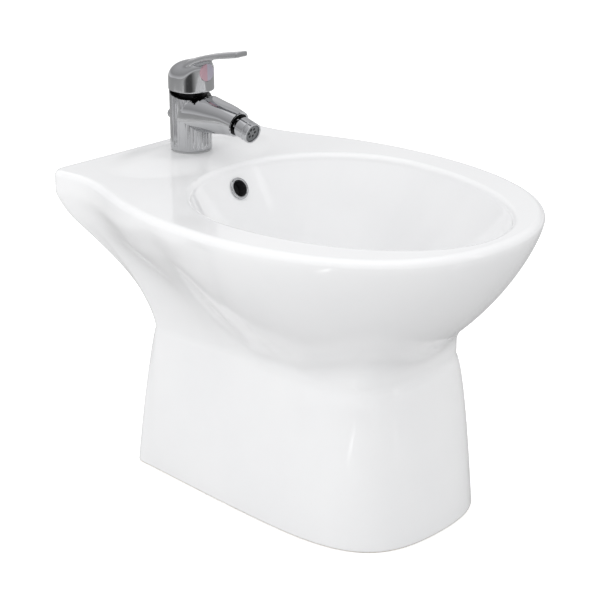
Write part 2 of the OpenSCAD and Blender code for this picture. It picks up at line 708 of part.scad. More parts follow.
// Waste, from the bowl's seat down to the tail pipe
seal_t = 1.5;
flange_z = seat_z + seal_t;
flange_tube_r = 18.5;
waste_bore_r = 16;
body_r = waste_hole / 2 - 0.6;
spigot_r = tail_d / 2 - 0.5;
spigot_h = 10;
lower_gasket_t = 5;
nut_t = 10;
pivot_drop = 25;
pivot_out = 30;
body_below = 19;
tube_above = 15;
pivot_z_low = boss_z - pivot_drop;
pivot_y = -waste_y + pivot_out;
body_low = pivot_z_low - body_below;
tube_low = pivot_z_low + tube_above;
slot_z = channel_end[1];
slot_r = 5;
tail_h = 50;
tail_low = body_low - tail_h;
port_r = 9;
pivot_ball_r = 5;
pivot_bore_r = 6.5;
port_end = pivot_y + 6;
module overflow_slots() {
    at_waste() translate([0, 0, slot_z]) {
        translate([-40, 0, 0]) rotate([0, 90, 0]) cylinder(r = slot_r, h = 80);
        rotate([-90, 0, 0]) cylinder(r = slot_r, h = 40);
    }
}
module waste_flange() {
    ledge = 1.2;
    color(chrome) difference() {
        at_waste() difference() {
            union() {
                translate([0, 0, flange_z]) cylinder(r1 = flange_d / 2, r2 = flange_d / 2 - 1.2, h = flange_t);
                translate([0, 0, tube_low]) cylinder(r = flange_tube_r, h = flange_z - tube_low + over);
            }
            translate([0, 0, tube_low - over]) cylinder(r = waste_bore_r, h = 100);
            translate([0, 0, flange_z + ledge]) cylinder(r = plug_d / 2 + 0.5, h = 10);
        }
        overflow_slots();
    }
}
module waste_seal() {
    color(rubber) at_waste() translate([0, 0, seat_z]) tube(flange_d / 2 - 1, waste_hole / 2, seal_t);
}
module waste_body() {
    color(chrome) difference() {
        union() {
            at_waste() translate([0, 0, body_low]) cylinder(r = body_r, h = seat_z - 8 - body_low);
            translate([0, -waste_y, pivot_z_low]) rotate([-90, 0, 0])
                cylinder(r = port_r, h = port_end + waste_y);
        }
        at_waste() {
            translate([0, 0, body_low - over]) cylinder(r = spigot_r + run_gap, h = 200);
            translate([0, 0, tube_low - 0.5]) cylinder(r = flange_tube_r + run_gap, h = 200);
        }
        translate([0, -waste_y, pivot_z_low]) rotate([-90, 0, 0]) cylinder(r = pivot_bore_r - 2, h = 100);
        translate([0, pivot_y - pivot_ball_r - 1, pivot_z_low]) rotate([-90, 0, 0])
            cylinder(r = pivot_bore_r, h = 100);
        overflow_slots();
    }
}
module waste_gasket() {
    color(rubber) at_waste() translate([0, 0, boss_z - lower_gasket_t])
        tube(boss_r - 6, body_r, lower_gasket_t);
}
module waste_nut() {
    color(brass) at_waste() translate([0, 0, boss_z - lower_gasket_t - nut_t]) difference() {
        cylinder(r = boss_r - 6, h = nut_t, $fn = 6);
        translate([0, 0, -over]) cylinder(r = body_r, h = nut_t + 2 * over);
    }
}
module waste_tail() {
    pipe_wall = 1.5;
    spigot_z = body_low - 2;
    color(chrome) at_waste() difference() {
        union() {
            translate([0, 0, tail_low]) cylinder(d = tail_d, h = spigot_z - tail_low);
            translate([0, 0, spigot_z - over]) cylinder(r = spigot_r, h = spigot_h + over);
        }
        translate([0, 0, tail_low - over]) cylinder(r = tail_d / 2 - pipe_wall, h = 200);
    }
}

// Pop-up linkage, at rest with the knob up and the plug down
inner_arm = pivot_y + waste_y;
strap_y = pivot_y + 98;
outer_arm = strap_y - pivot_y;
rest_tilt = atan(rod_travel / 2 / outer_arm);
eye_z = pivot_z_low - inner_arm * tan(rest_tilt);
strap_hole_z = pivot_z_low + outer_arm * tan(rest_tilt);
pivot_rod_r = 1.5;
eye_r = 2.6;
plug_z = flange_z + 1.2 + seal_t;
rod_low = 280;
clamp_block = 12;
module waste_plug() {
    color(chrome) at_waste() {
        translate([0, 0, plug_z]) cylinder(r = plug_d / 2, h = 1.3);
        translate([0, 0, plug_z + 1.3]) cylinder(r1 = plug_d / 2, r2 = plug_d / 2 - 2.5, h = 1.2);
        translate([0, 0, eye_z + 8]) cylinder(r = 3, h = plug_z - eye_z - 8 + over);
        for (a = [0, 90]) rotate([0, 0, a]) translate([-waste_bore_r + loose_gap, -0.75, plug_z - 26])
            cube([2 * (waste_bore_r - loose_gap), 1.5, 26 - seal_t - 0.2]);
        difference() {
            translate([-4, -1.2, eye_z - 5]) cube([8, 2.4, 15]);
            translate([0, -10, eye_z]) rotate([-90, 0, 0]) cylinder(r = eye_r, h = 20);
        }
    }
}
module plug_seal() {
    color(rubber) at_waste() translate([0, 0, plug_z - seal_t]) tube(plug_d / 2 - 0.5, waste_bore_r + 0.5, seal_t);
}
module pivot_rod() {
    color(steel) {
        translate([0, pivot_y, pivot_z_low]) sphere(r = pivot_ball_r);
        translate([0, pivot_y, pivot_z_low]) rotate([rest_tilt - 90, 0, 0]) translate([0, 0, -inner_arm - 4])
            cylinder(r = pivot_rod_r, h = inner_arm + outer_arm + 12);
    }
}
module pivot_gasket() {
    color(rubber) translate([0, pivot_y - pivot_ball_r - 1, pivot_z_low]) rotate([-90, 0, 0])
        tube(pivot_bore_r - 0.05, pivot_ball_r - 0.4, 3);
}
module pivot_nut() {
    nut_from = port_end - 7;
    color(chrome) translate([0, nut_from, pivot_z_low]) rotate([-90, 0, 0]) difference() {
        cylinder(r = port_r + 2.5, h = 11);
        translate([0, 0, -over]) cylinder(r = port_r + run_gap, h = 7.2 + over);
        cylinder(r = pivot_rod_r + 2, h = 20);
    }
}
module lift_rod() {
    color(chrome) difference() {
        translate([0, tap_y + rod_offset, rod_low]) cylinder(r = rod_r, h = tap_z + rod_top - rod_low);
        translate([0, tap_y, tap_z + knob_z]) rotate([-90, 0, 0]) cylinder(r = knob_pin_r, h = 40);
    }
}
module lift_knob() {
    color(chrome) at_tap() translate([0, 0, knob_z]) {
        translate([0, rod_offset - rod_r + 1, 0]) rotate([-90, 0, 0])
            cylinder(r = knob_pin_r, h = knob_y - rod_offset + rod_r - 1);
        translate([0, knob_y, knob_rise]) sphere(r = knob_r);
    }
}
module lift_strap() {
    y = tap_y + rod_offset;
    block_low = rod_low + 3;
    block_h = 8;
    strap_w = 8;
    into_block = y - clamp_block / 2 + 1;
    color(steel) difference() {
        union() {
            translate([-clamp_block / 2, y - clamp_block / 2, block_low]) cube([clamp_block, clamp_block, block_h]);
            rotate([90, 0, 90]) linear_extrude(strap_w, center = true) polygon([
                [strap_y - 1, strap_hole_z - 8],
                [strap_y + 1, strap_hole_z - 8],
                [strap_y + 1, strap_hole_z + 12],
                [into_block, block_low + 2],
                [into_block, block_low + 4.5],
                [strap_y - 1, strap_hole_z + 13.5]]);
        }
        translate([0, y, block_low - 10]) cylinder(r = rod_r, h = 40);
        translate([0, strap_y - 10, strap_hole_z]) rotate([-90, 0, 0]) cylinder(r = pivot_rod_r + 0.8, h = 14);
        translate([0, y, block_low + block_h / 2]) rotate([-90, 0, 0]) cylinder(r = 2, h = 20);
    }
}
module strap_screw() {
    y = tap_y + rod_offset;
    color(steel) translate([0, y, rod_low + 7]) rotate([-90, 0, 0]) {
        translate([0, 0, rod_r]) cylinder(r = 2, h = clamp_block / 2 - rod_r + 1);
        translate([0, 0, clamp_block / 2 + 0.5]) cylinder(r = 4, h = 5);
    }
}

ceramic_body();
overflow_ring();
tap_gasket();
mixer_body();
cartridge_body();
fixed_disc();
moving_disc();
cartridge_rotor();
cartridge_pin();
cartridge_lid();
cartridge_nut();
dome_cap();
cartridge_stem();
lever_handle();
lever_screw();
hot_mark();
cold_mark();
swivel_seat();
nozzle_collar();
nozzle_ball();
aerator_housing();
aerator_insert();
mounting_stud();
clamp_gasket();
clamp_washer();
stud_nut();
waste_flange();
waste_seal();
waste_body();
waste_gasket();
waste_nut();
waste_tail();
waste_plug();
plug_seal();
pivot_rod();
pivot_gasket();
pivot_nut();
lift_rod();
lift_knob();
lift_strap();
strap_screw();
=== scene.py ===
"""Blender scene of a floor-standing glazed ceramic bidet with its single-lever mixer.

Metres, +Z up, front of the pan towards -Y. The origin lies on the floor.
"""

import json
import math

import bmesh
import bpy
import numpy as np
from mathutils import Matrix, Vector


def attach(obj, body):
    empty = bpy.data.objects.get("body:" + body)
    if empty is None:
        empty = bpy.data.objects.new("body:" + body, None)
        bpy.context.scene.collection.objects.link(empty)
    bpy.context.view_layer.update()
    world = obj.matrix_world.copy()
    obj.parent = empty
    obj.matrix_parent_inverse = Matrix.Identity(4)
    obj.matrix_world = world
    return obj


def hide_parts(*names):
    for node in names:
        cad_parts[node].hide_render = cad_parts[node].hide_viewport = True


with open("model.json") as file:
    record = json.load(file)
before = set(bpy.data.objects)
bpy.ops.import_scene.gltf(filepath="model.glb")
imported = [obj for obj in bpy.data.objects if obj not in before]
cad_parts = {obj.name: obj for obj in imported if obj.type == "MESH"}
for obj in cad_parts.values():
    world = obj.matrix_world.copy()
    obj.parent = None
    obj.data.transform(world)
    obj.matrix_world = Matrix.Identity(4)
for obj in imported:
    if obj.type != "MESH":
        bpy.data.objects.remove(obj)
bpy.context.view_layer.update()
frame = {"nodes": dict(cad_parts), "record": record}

MM = 0.001
RIM_Z = 372.0
DECK_Z = 379.0
TAP_Y = 202.0
TAP_Z = 381.0
WASTE_AHEAD = 28.0
HALF_L = 280.0


# mesh tools
BOX_FACES = [(0, 1, 3, 2), (4, 6, 7, 5), (0, 4, 5, 1), (2, 3, 7, 6), (0, 2, 6, 4), (1, 5, 7, 3)]
BALL_PARTS = 24


def add_object(name, data):
    obj = bpy.data.objects.new(name, data)
    bpy.context.scene.collection.objects.link(obj)
    return obj


def shade(mesh, sharp=None):
    """Shades smooth; faces meeting at more than `sharp` degrees keep a crisp edge."""
    mesh.shade_smooth()
    if sharp is not None:
        mesh.set_sharp_from_angle(angle=math.radians(sharp))


def mesh_from(name, points, faces, sharp=None):
    """Object from points in millimetres."""
    mesh = bpy.data.meshes.new(name)
    mesh.from_pydata([tuple(float(v) * MM for v in p) for p in points], [], [tuple(f) for f in faces])
    mesh.update()
    bm = bmesh.new()
    bm.from_mesh(mesh)
    bmesh.ops.recalc_face_normals(bm, faces=bm.faces)
    bm.to_mesh(mesh)
    bm.free()
    shade(mesh, sharp)
    return add_object(name, mesh)


def apply_modifiers(obj):
    """Puts the result of the object's modifiers in place of its mesh."""
    bpy.context.view_layer.update()
    baked = bpy.data.meshes.new_from_object(obj.evaluated_get(bpy.context.evaluated_depsgraph_get()))
    obj.modifiers.clear()
    old = obj.data
    obj.data = baked
    bpy.data.meshes.remove(old)
    return baked


def boolean(obj, cutter, operation):
    """Applies a boolean with a throw-away cutter to the object's mesh."""
    mod = obj.modifiers.new("cut", "BOOLEAN")
    mod.operation = operation
    mod.solver = "EXACT"
    mod.object = cutter
    apply_modifiers(obj)
    bpy.data.objects.remove(cutter)


def circle(steps):
    """Bearings of a full turn, without the closing one."""
    return np.linspace(0, 2 * math.pi, steps + 1)[:-1]


def fan(n):
    """Triangles between point 0 and a ring of n points after it."""
    return [(0, 1 + (k + 1) % n, 1 + k) for k in range(n)]


def bands(first, n, rings):
    """Quads between rings of n points each, the first of which starts at point `first`."""
    faces = []
    for low in range(first, first + (rings - 1) * n, n):
        high = low + n
        faces += [(low + k, low + (k + 1) % n, high + (k + 1) % n, high + k) for k in range(n)]
    return faces


def skin(name, start, rings, end):
    """Closed surface from a start point over rings of equal length to an end point."""
    n = len(rings[0])
    points = np.concatenate([[start], *rings, [end]])
    last = 1 + (len(rings) - 1) * n
    lid = [(len(points) - 1, last + k, last + (k + 1) % n) for k in range(n)]
    return mesh_from(name, points, fan(n) + bands(1, n, len(rings)) + lid)


def loft(name, sections, sharp=35):
    """Closed skin over rings of equal length, with flat ends."""
    n = len(sections[0])
    points = np.concatenate(sections)
    ends = [tuple(range(n)), tuple(range(len(points) - 1, len(points) - n - 1, -1))]
    return mesh_from(name, points, ends + bands(0, n, len(sections)), sharp)


def box(name, xs, ys, zs):
    """Block between two values on each axis."""
    return mesh_from(name, [(x, y, z) for x in xs for y in ys for z in zs], BOX_FACES)


def lathe(name, profile, steps=96, at=None, sharp=35, closed=False):
    """Surface of revolution about Z from [radius, z] points in millimetres; `at` places it."""
    points, faces = [], []
    rows = []
    for r, z in profile:
        if r < 1e-6:
            rows.append([len(points)])
            points.append((0, 0, z))
            continue
        rows.append(list(range(len(points), len(points) + steps)))
        for k in range(steps):
            a = 2 * math.pi * k / steps
            points.append((r * math.cos(a), r * math.sin(a), z))
    pairs = list(zip(rows, rows[1:])) + ([(rows[-1], rows[0])] if closed else [])
    for low, high in pairs:
        for k in range(steps):
            n = (k + 1) % steps
            if len(low) == 1 and len(high) > 1:
                faces.append((low[0], high[n], high[k]))
            elif len(high) == 1 and len(low) > 1:
                faces.append((low[k], low[n], high[0]))
            elif len(low) > 1:
                faces.append((low[k], low[n], high[n], high[k]))
    if at is not None:
        points = [tuple(at @ Vector(p)) for p in points]
    return mesh_from(name, points, faces, sharp)


def cylinder(name, a, b, r, steps=48):
    """Closed cylinder between two points in millimetres."""
    a, b = Vector(a), Vector(b)
    turn = (b - a).to_track_quat("Z", "Y").to_matrix().to_4x4()
    h = (b - a).length
    return lathe(name, [(0, 0), (r, 0), (r, h), (0, h)], steps, Matrix.Translation(a) @ turn)


def ball(name, centre, r, steps=48):
    turns = [math.pi * k / BALL_PARTS for k in range(BALL_PARTS + 1)]
    rows = [(r * math.sin(a), -r * math.cos(a)) for a in turns]
    rows[0], rows[-1] = (0, -r), (0, r)
    return lathe(name, rows, steps, Matrix.Translation(Vector(centre)), None)


# ceramic pan
def bezier(a, b, c, d, n):
    t = np.linspace(0, 1, n + 1)[:, None]
    s = 1 - t
    return s**3 * np.array(a) + 3 * s * s * t * np.array(b) + 3 * s * t * t * np.array(c) + t**3 * np.array(d)


def half_outline(front, rear, wide, wide_y, rear_w, corner, bow, lean):
    """Half outline of a ring, from the front middle to the rear middle.

    It is `wide` across its half at `wide_y` and `rear_w` at the back, whose corners are rounded by `corner`. `bow`
    holds the reach of the four curve handles, and `lean` the angle at which the side meets the corner.
    """
    lean = math.radians(lean)
    start = np.array([rear_w, rear - corner])
    back = np.array([math.sin(lean), -math.cos(lean)])
    turn = np.radians(np.linspace(0, 90, 31))
    return np.concatenate([
        bezier([0, -front], [bow[0], -front], [wide, wide_y - bow[1]], [wide, wide_y], 90),
        bezier([wide, wide_y], [wide, wide_y + bow[2]], start + back * bow[3], start, 90)[1:],
        start + corner * np.column_stack([np.cos(turn) - 1, np.sin(turn)]),
        np.column_stack([(rear_w - corner) * np.linspace(0.99, 0, 80), np.full(80, rear)])])


HALF_BEARINGS = np.radians(np.concatenate([
    np.arange(0, 130, 2), np.arange(130, 146, 1), np.arange(146, 162, 0.4), np.arange(162, 180.01, 1)]))
DEGREES = np.degrees(HALF_BEARINGS)


def smooth(t):
    """Soft step from 0 to 1."""
    u = np.clip(t, 0, 1)
    return u * u * (3 - 2 * u)

def radii(outline):
    """Radius of a half outline round the waste at every bearing."""
    x, y = outline[:, 0], outline[:, 1] + WASTE_AHEAD
    bearing = np.arctan2(x, -y)
    order = np.argsort(bearing, kind="stable")
    return np.interp(HALF_BEARINGS, bearing[order], np.hypot(x, y)[order])


def oval(half_w, mid_y, front, rear):
    a = np.radians(np.linspace(0, 180, 181))
    far = np.where(np.cos(a) > 0, front, rear)
    return np.column_stack([half_w * np.sin(a), mid_y - far * np.cos(a)])


WALL = 11.0
BOWL_LIP = 7.0
RIM_EDGE = 8.5
FLARE_TOP = RIM_Z - RIM_EDGE
BOWL_DEPTH = 140.0
BOWL_FLOOR = RIM_Z - BOWL_DEPTH
BOWL_WALL_DEPTH = BOWL_DEPTH - BOWL_LIP
BOWL_HALF_W, BOWL_MID_Y = 156, -21
BOWL_FRONT, BOWL_REAR = 258, 130.0
BOWL_POWERS = 2.4, 0.95
WAIST_Z = 187.0
FOOT_WIDE_Y = -49
FOOT_CORNER = 12
FOOT_BOW = np.array([90.0, 120, 87, 27])
rim_r = radii(half_outline(front=HALF_L, rear=HALF_L, wide=205.5, wide_y=-12, rear_w=157.5, corner=13,
                           bow=[161, 115, 164, 91], lean=-11))
foot_r = radii(half_outline(front=201, rear=198, wide=122.5, wide_y=FOOT_WIDE_Y, rear_w=113.5, corner=FOOT_CORNER,
                            bow=FOOT_BOW, lean=0))
waist_r = radii(half_outline(front=171, rear=161, wide=96, wide_y=FOOT_WIDE_Y, rear_w=108, corner=FOOT_CORNER,
                             bow=FOOT_BOW * 0.95, lean=0))
bowl_r = radii(oval(BOWL_HALF_W, BOWL_MID_Y, BOWL_FRONT + BOWL_MID_Y, BOWL_REAR - BOWL_MID_Y))

# The pan's bulge under the rim, the flare behind it and the soft blend between the two, by bearing from the front.
bulge_oval = radii(oval(178, -WASTE_AHEAD, HALF_L - WASTE_AHEAD, BOWL_REAR + 25 + WASTE_AHEAD))
oval_share = smooth((DEGREES - 80) / 50)
bulge_r = rim_r * (1 - oval_share) + np.minimum(rim_r, bulge_oval) * oval_share
bulge_depth = 197.5 - 9 * smooth((DEGREES - 50) / 30)
BULGE_POWERS = 1.295, 0.4836
spread = smooth((DEGREES - 55) / 50) * (1 + 0.14 * smooth((DEGREES - 112) / 20))
FLARE_POWERS = 1.93, 1.76
FOOT_POWER = 0.6
side_share = smooth((DEGREES - 85) / 20)
blend_k = 24.7 + 12 * side_share * (1 - smooth((DEGREES - 118) / 20))
flank_fill = 5.5 * smooth((DEGREES - 106) / 20) * (1 - smooth((DEGREES - 144) / 24))
FILL_Z, FILL_REACH = 228, 42
RIM_SOFTNESS, RIM_SOFT_REACH = 24, 40


def skin_radius(z):
    """Outer radius of the pan and its pedestal at a height."""
    if z < WAIST_Z:
        pedestal = foot_r + (waist_r - foot_r) * (1 - (1 - z / WAIST_Z) ** FOOT_POWER)
    else:
        u = min((z - WAIST_Z) / (FLARE_TOP - WAIST_Z), 1)
        pedestal = waist_r + (rim_r - waist_r) * (1 - (1 - u ** FLARE_POWERS[0]) ** FLARE_POWERS[1]) * spread
    pedestal = pedestal + flank_fill * math.exp(-((z - FILL_Z) / FILL_REACH) ** 2)
    drop = max(FLARE_TOP - z, 0) / bulge_depth
    bulge = bulge_r * np.maximum(1 - drop ** BULGE_POWERS[0], 0) ** BULGE_POWERS[1]
    both = np.maximum(pedestal, bulge) + np.maximum(blend_k - abs(pedestal - bulge), 0) ** 2 / (4 * blend_k)
    soft = 1 + RIM_SOFTNESS * smooth((FLARE_TOP - z) / RIM_SOFT_REACH)
    return np.minimum(both, rim_r) - np.maximum(soft - abs(both - rim_r), 0) ** 2 / (4 * soft) * side_share


def bowl_z(s):
    """Height of the bowl's wall at a share of its radius."""
    return RIM_Z - BOWL_LIP - BOWL_WALL_DEPTH * max(1 - s ** BOWL_POWERS[0], 0) ** BOWL_POWERS[1]


def bowl_fraction(z):
    """Share of the bowl's radius at a height, the reverse of bowl_z."""
    drop = np.clip((RIM_Z - BOWL_LIP - z) / BOWL_WALL_DEPTH, 0, 1)
    return (1 - drop ** (1 / BOWL_POWERS[1])) ** (1 / BOWL_POWERS[0])


def under_bowl(z):
    """Share of the bowl's radius that its underside takes at a height of the hollow."""
    return 0 if z < BOWL_FLOOR - WALL else bowl_fraction(z + WALL)


def hollow_radius(z):
    return np.minimum(skin_radius(z), skin_radius(max(z - 0.8 * WALL, 0))) - 0.9 * WALL


CROWN_HALF_W, CROWN_HALF_L, CROWN_FLAT = 125, 74, 0.38


def crown(x, y):
    """Rise of the deck round the mixer, flat at its seat."""
    d = np.hypot(x / CROWN_HALF_W, (y - TAP_Y) / CROWN_HALF_L)
    return (DECK_Z - RIM_Z) * smooth((1 - d) / (1 - CROWN_FLAT))


def ring(radius, height, lift=False):
    """Full ring of points; the left half mirrors the right one."""
    z = np.broadcast_to(height, radius.shape)
    x, y = radius * np.sin(HALF_BEARINGS), -WASTE_AHEAD - radius * np.cos(HALF_BEARINGS)
    if lift:
        z = z + crown(x, y)
    right = np.column_stack([x, y, z])
    left = right[-2:0:-1] * [-1, 1, 1]
    return np.concatenate([right, left])


def pan_rings():
    """Rings up the bowl, over the rim, down the outside, up the hollow and in under the bowl."""
    rings = [ring(bowl_r * s, bowl_z(s)) for s in np.concatenate([
        np.linspace(0.04, 0.76, 19), [0.8, 0.84, 0.88, 0.915, 0.945, 0.968, 0.985, 0.995]])]
    for a in np.radians(np.linspace(0, 90, 9)):
        rings.append(ring(bowl_r + BOWL_LIP * (1 - math.cos(a)), RIM_Z - BOWL_LIP * (1 - math.sin(a))))
    inner, outer = bowl_r + BOWL_LIP, rim_r - RIM_EDGE
    for t in np.linspace(0, 1, 25)[1:]:
        rings.append(ring(inner * (1 - t) + outer * t, RIM_Z, True))
    for a in np.radians(np.linspace(90, 0, 10))[1:]:
        rings.append(ring(outer + RIM_EDGE * math.cos(a), FLARE_TOP + RIM_EDGE * math.sin(a)))
    for z in np.concatenate([np.linspace(FLARE_TOP - 6, WAIST_Z - 30, 46), np.linspace(WAIST_Z - 36, 9, 24),
                             [4, 2, 0.8, 0.2]]):
        tuck = max(2 - z, 0) ** 2 / 2.5
        rings.append(ring(skin_radius(z) - tuck, z))
    rings.append(ring(skin_radius(0) - 2.6, 0))

    ceiling = RIM_Z - WALL
    front_ceiling = RIM_Z - 122
    heights = np.linspace(0, ceiling, 120)
    room = np.array([hollow_radius(h) - (bowl_r + WALL) * under_bowl(h) for h in heights])
    reach = np.array([heights[np.argmax(col < 4)] if (col < 4).any() else ceiling for col in room.T])
    rear_share = smooth((DEGREES - 100) / 45)
    top = np.minimum(reach, front_ceiling * (1 - rear_share) + ceiling * rear_share)
    for t in [0, 0.1, 0.25, 0.4, 0.52, 0.62, 0.72, 0.8, 0.87, 0.94, 1]:
        rings.append(ring(np.array([hollow_radius(h * t)[i] for i, h in enumerate(top)]), top * t))
    share = np.array([under_bowl(h) for h in top])
    for t in [1, 0.85, 0.65, 0.45, 0.25, 0.1]:
        z = top if t == 1 else np.array([bowl_z(s * t) - WALL for s in share])
        rings.append(ring((bowl_r + WALL) * share * t, z))
    return rings


OVERFLOW_D = 22.0
OVERFLOW_Z = RIM_Z - 27
overflow_s = bowl_fraction(OVERFLOW_Z)
OVERFLOW_Y = BOWL_REAR - (1 - overflow_s) * (BOWL_REAR + WASTE_AHEAD)
slope = math.atan((bowl_z(overflow_s + 0.01) - bowl_z(overflow_s - 0.01)) / (0.02 * (BOWL_REAR + WASTE_AHEAD)))
OVERFLOW_AT = Matrix.Translation(Vector((0, OVERFLOW_Y, OVERFLOW_Z))) @ Matrix.Rotation(slope, 4, "X")
BOSS_R, BOSS_LOW = 38, 190
WASTE_HOLE_R, FLANGE_SEAT_R, FLANGE_SEAT = 23, 32.5, 1.5
TAP_HOLE_R = 17.5
CHAMBER_R = 17
CHANNEL_R, CHANNEL_OUTER_R = 7.5, 13.5
CHANNEL_BEND, CHANNEL_END = Vector((0, 100, 272)), Vector((0, -5, 205))
LUG_X, LUG_Y, LUG_R, LUG_H, LUG_HOLE_R = 82, 120, 12, 14, 4
BACK_HALF_W, BACK_TOP, BACK_YS = 75.0, 335.0, (143.0, 320.0)


def back_opening():
    """Cutter of the arched opening in the back of the foot."""
    arch = [(BACK_HALF_W * math.cos(a), BACK_TOP - BACK_HALF_W + BACK_HALF_W * math.sin(a))
            for a in np.linspace(0, math.pi, 49)]
    arch = [(BACK_HALF_W, -1)] + arch + [(-BACK_HALF_W, -1)]
    n = len(arch)
    points = [(x, y, z) for y in BACK_YS for x, z in arch]
    faces = [tuple(range(n)), tuple(range(2 * n - 1, n - 1, -1))]
    faces += [(k, k + n, (k + 1) % n + n, (k + 1) % n) for k in range(n)]
    return mesh_from("cut", points, faces)


def waste_cylinder(name, low, high, r):
    return cylinder(name, (0, -WASTE_AHEAD, low), (0, -WASTE_AHEAD, high), r, 96)


def cut_pan(pan):
    """Adds the bosses under the pan and cuts its holes, the overflow channel and the opening in the back."""
    back = Vector((0, math.sin(slope), -math.cos(slope)))
    mouth = Vector((0, OVERFLOW_Y, OVERFLOW_Z))
    chamber = mouth + back * 22
    for made in [waste_cylinder("add", BOSS_LOW, BOWL_FLOOR - WALL / 2, BOSS_R),
                 cylinder("add", mouth + back * 5.5, mouth + back * 35.5, CHAMBER_R, 72),
                 cylinder("add", chamber, CHANNEL_BEND, CHANNEL_OUTER_R),
                 ball("add", CHANNEL_BEND, CHANNEL_OUTER_R + 0.4),
                 cylinder("add", CHANNEL_BEND, CHANNEL_END, CHANNEL_OUTER_R)]:
        boolean(pan, made, "UNION")
    for side in (-1, 1):
        x = side * LUG_X
        boolean(pan, cylinder("add", (x, LUG_Y, 0), (x, LUG_Y, LUG_H), LUG_R), "UNION")
        boolean(pan, box("add", (x, side * 113), (LUG_Y - LUG_R, LUG_Y + LUG_R), (0, LUG_H)), "UNION")
        boolean(pan, cylinder("cut", (x, LUG_Y, -1), (x, LUG_Y, LUG_H + 1), LUG_HOLE_R), "DIFFERENCE")
    boolean(pan, back_opening(), "DIFFERENCE")
    for cutter in [cylinder("cut", (0, TAP_Y, 340), (0, TAP_Y, 400), TAP_HOLE_R, 96),
                   waste_cylinder("cut", 185, 240, WASTE_HOLE_R),
                   waste_cylinder("cut", BOWL_FLOOR - FLANGE_SEAT, 250, FLANGE_SEAT_R),
                   cylinder("cut", mouth + back * 29.5, mouth - back * 12, OVERFLOW_D / 2, 72),
                   cylinder("cut", chamber, CHANNEL_BEND, CHANNEL_R),
                   ball("cut", CHANNEL_BEND, CHANNEL_R + 0.4),
                   cylinder("cut", CHANNEL_BEND, CHANNEL_END, CHANNEL_R)]:
        boolean(pan, cutter, "DIFFERENCE")
    shade(pan.data, 38)

# materials
MIX_FACTOR, MIX_A, MIX_B, MIX_COLOUR = 0, 6, 7, 2
FLOAT_A, FLOAT_B, FLOAT_RESULT = 2, 3, 0


class Graph:
    """Adds and links the nodes of a world or a material."""

    def __init__(self, owner, output):
        owner.use_nodes = True
        self.tree = owner.node_tree
        self.tree.nodes.clear()
        self.out = self.new(output)
        self.where = self.new("ShaderNodeTexCoord")

    def new(self, kind, inputs=None, **fields):
        node = self.tree.nodes.new(kind)
        for key, value in fields.items():
            setattr(node, key, value)
        for key, value in (inputs or {}).items():
            node.inputs[key].default_value = value
        return node

    def link(self, a, out, b, into):
        self.tree.links.new(a.outputs[out], b.inputs[into])

    def noise(self, scale, detail=3.0, rough=0.5, squeeze=(1, 1, 1)):
        """Noise over the object's own coordinates, `scale` per metre."""
        mapping = self.new("ShaderNodeMapping", {"Scale": squeeze})
        self.link(self.where, "Object", mapping, "Vector")
        node = self.new("ShaderNodeTexNoise", {"Scale": scale, "Detail": detail, "Roughness": rough})
        self.link(mapping, "Vector", node, "Vector")
        return node

    def ramp(self, node, out, stops):
        ramp = self.new("ShaderNodeValToRGB")
        elements = ramp.color_ramp.elements
        while len(elements) < len(stops):
            elements.new(0.5)
        for element, (at, colour) in zip(elements, stops):
            element.position = at
            element.color = (*colour, 1)
        self.link(node, out, ramp, "Fac")
        return ramp

    def tones(self, noise, low, high):
        """Colour that drifts between two tones with a noise."""
        return self.ramp(noise, "Fac", [(0.3, low), (0.7, high)])

    def map_range(self, node, out, low, high, to_low, to_high, **fields):
        node_range = self.new("ShaderNodeMapRange", {
            "From Min": low, "From Max": high, "To Min": to_low, "To Max": to_high}, **fields)
        self.link(node, out, node_range, "Value")
        return node_range

    def mix(self, factor, low, high):
        """Colour between two others; each argument is a node with the output to take."""
        node = self.new("ShaderNodeMix", data_type="RGBA")
        for (source, out), into in zip((factor, low, high), (MIX_FACTOR, MIX_A, MIX_B)):
            self.link(source, out, node, into)
        return node


class Surface(Graph):
    """One material with its principled shader."""

    def __init__(self, name):
        self.mat = bpy.data.materials.new(name)
        super().__init__(self.mat, "ShaderNodeOutputMaterial")
        self.shader = self.new("ShaderNodeBsdfPrincipled")
        self.link(self.shader, "BSDF", self.out, "Surface")

    def set(self, **values):
        for key, value in values.items():
            self.shader.inputs[key.replace("_", " ")].default_value = value

    def gloss(self, noise, low, high, rough):
        """Roughness that drifts within `rough` as the noise goes from low to high."""
        self.link(self.map_range(noise, "Fac", low, high, *rough), "Result", self.shader, "Roughness")

    def bump(self, noise, depth, strength, under=None):
        """Bump of the given depth in metres."""
        bump = self.new("ShaderNodeBump", {"Strength": strength, "Distance": depth})
        self.link(noise, "Fac", bump, "Height")
        if under is not None:
            self.link(under, "Normal", bump, "Normal")
        self.link(bump, "Normal", self.shader, "Normal")
        return bump


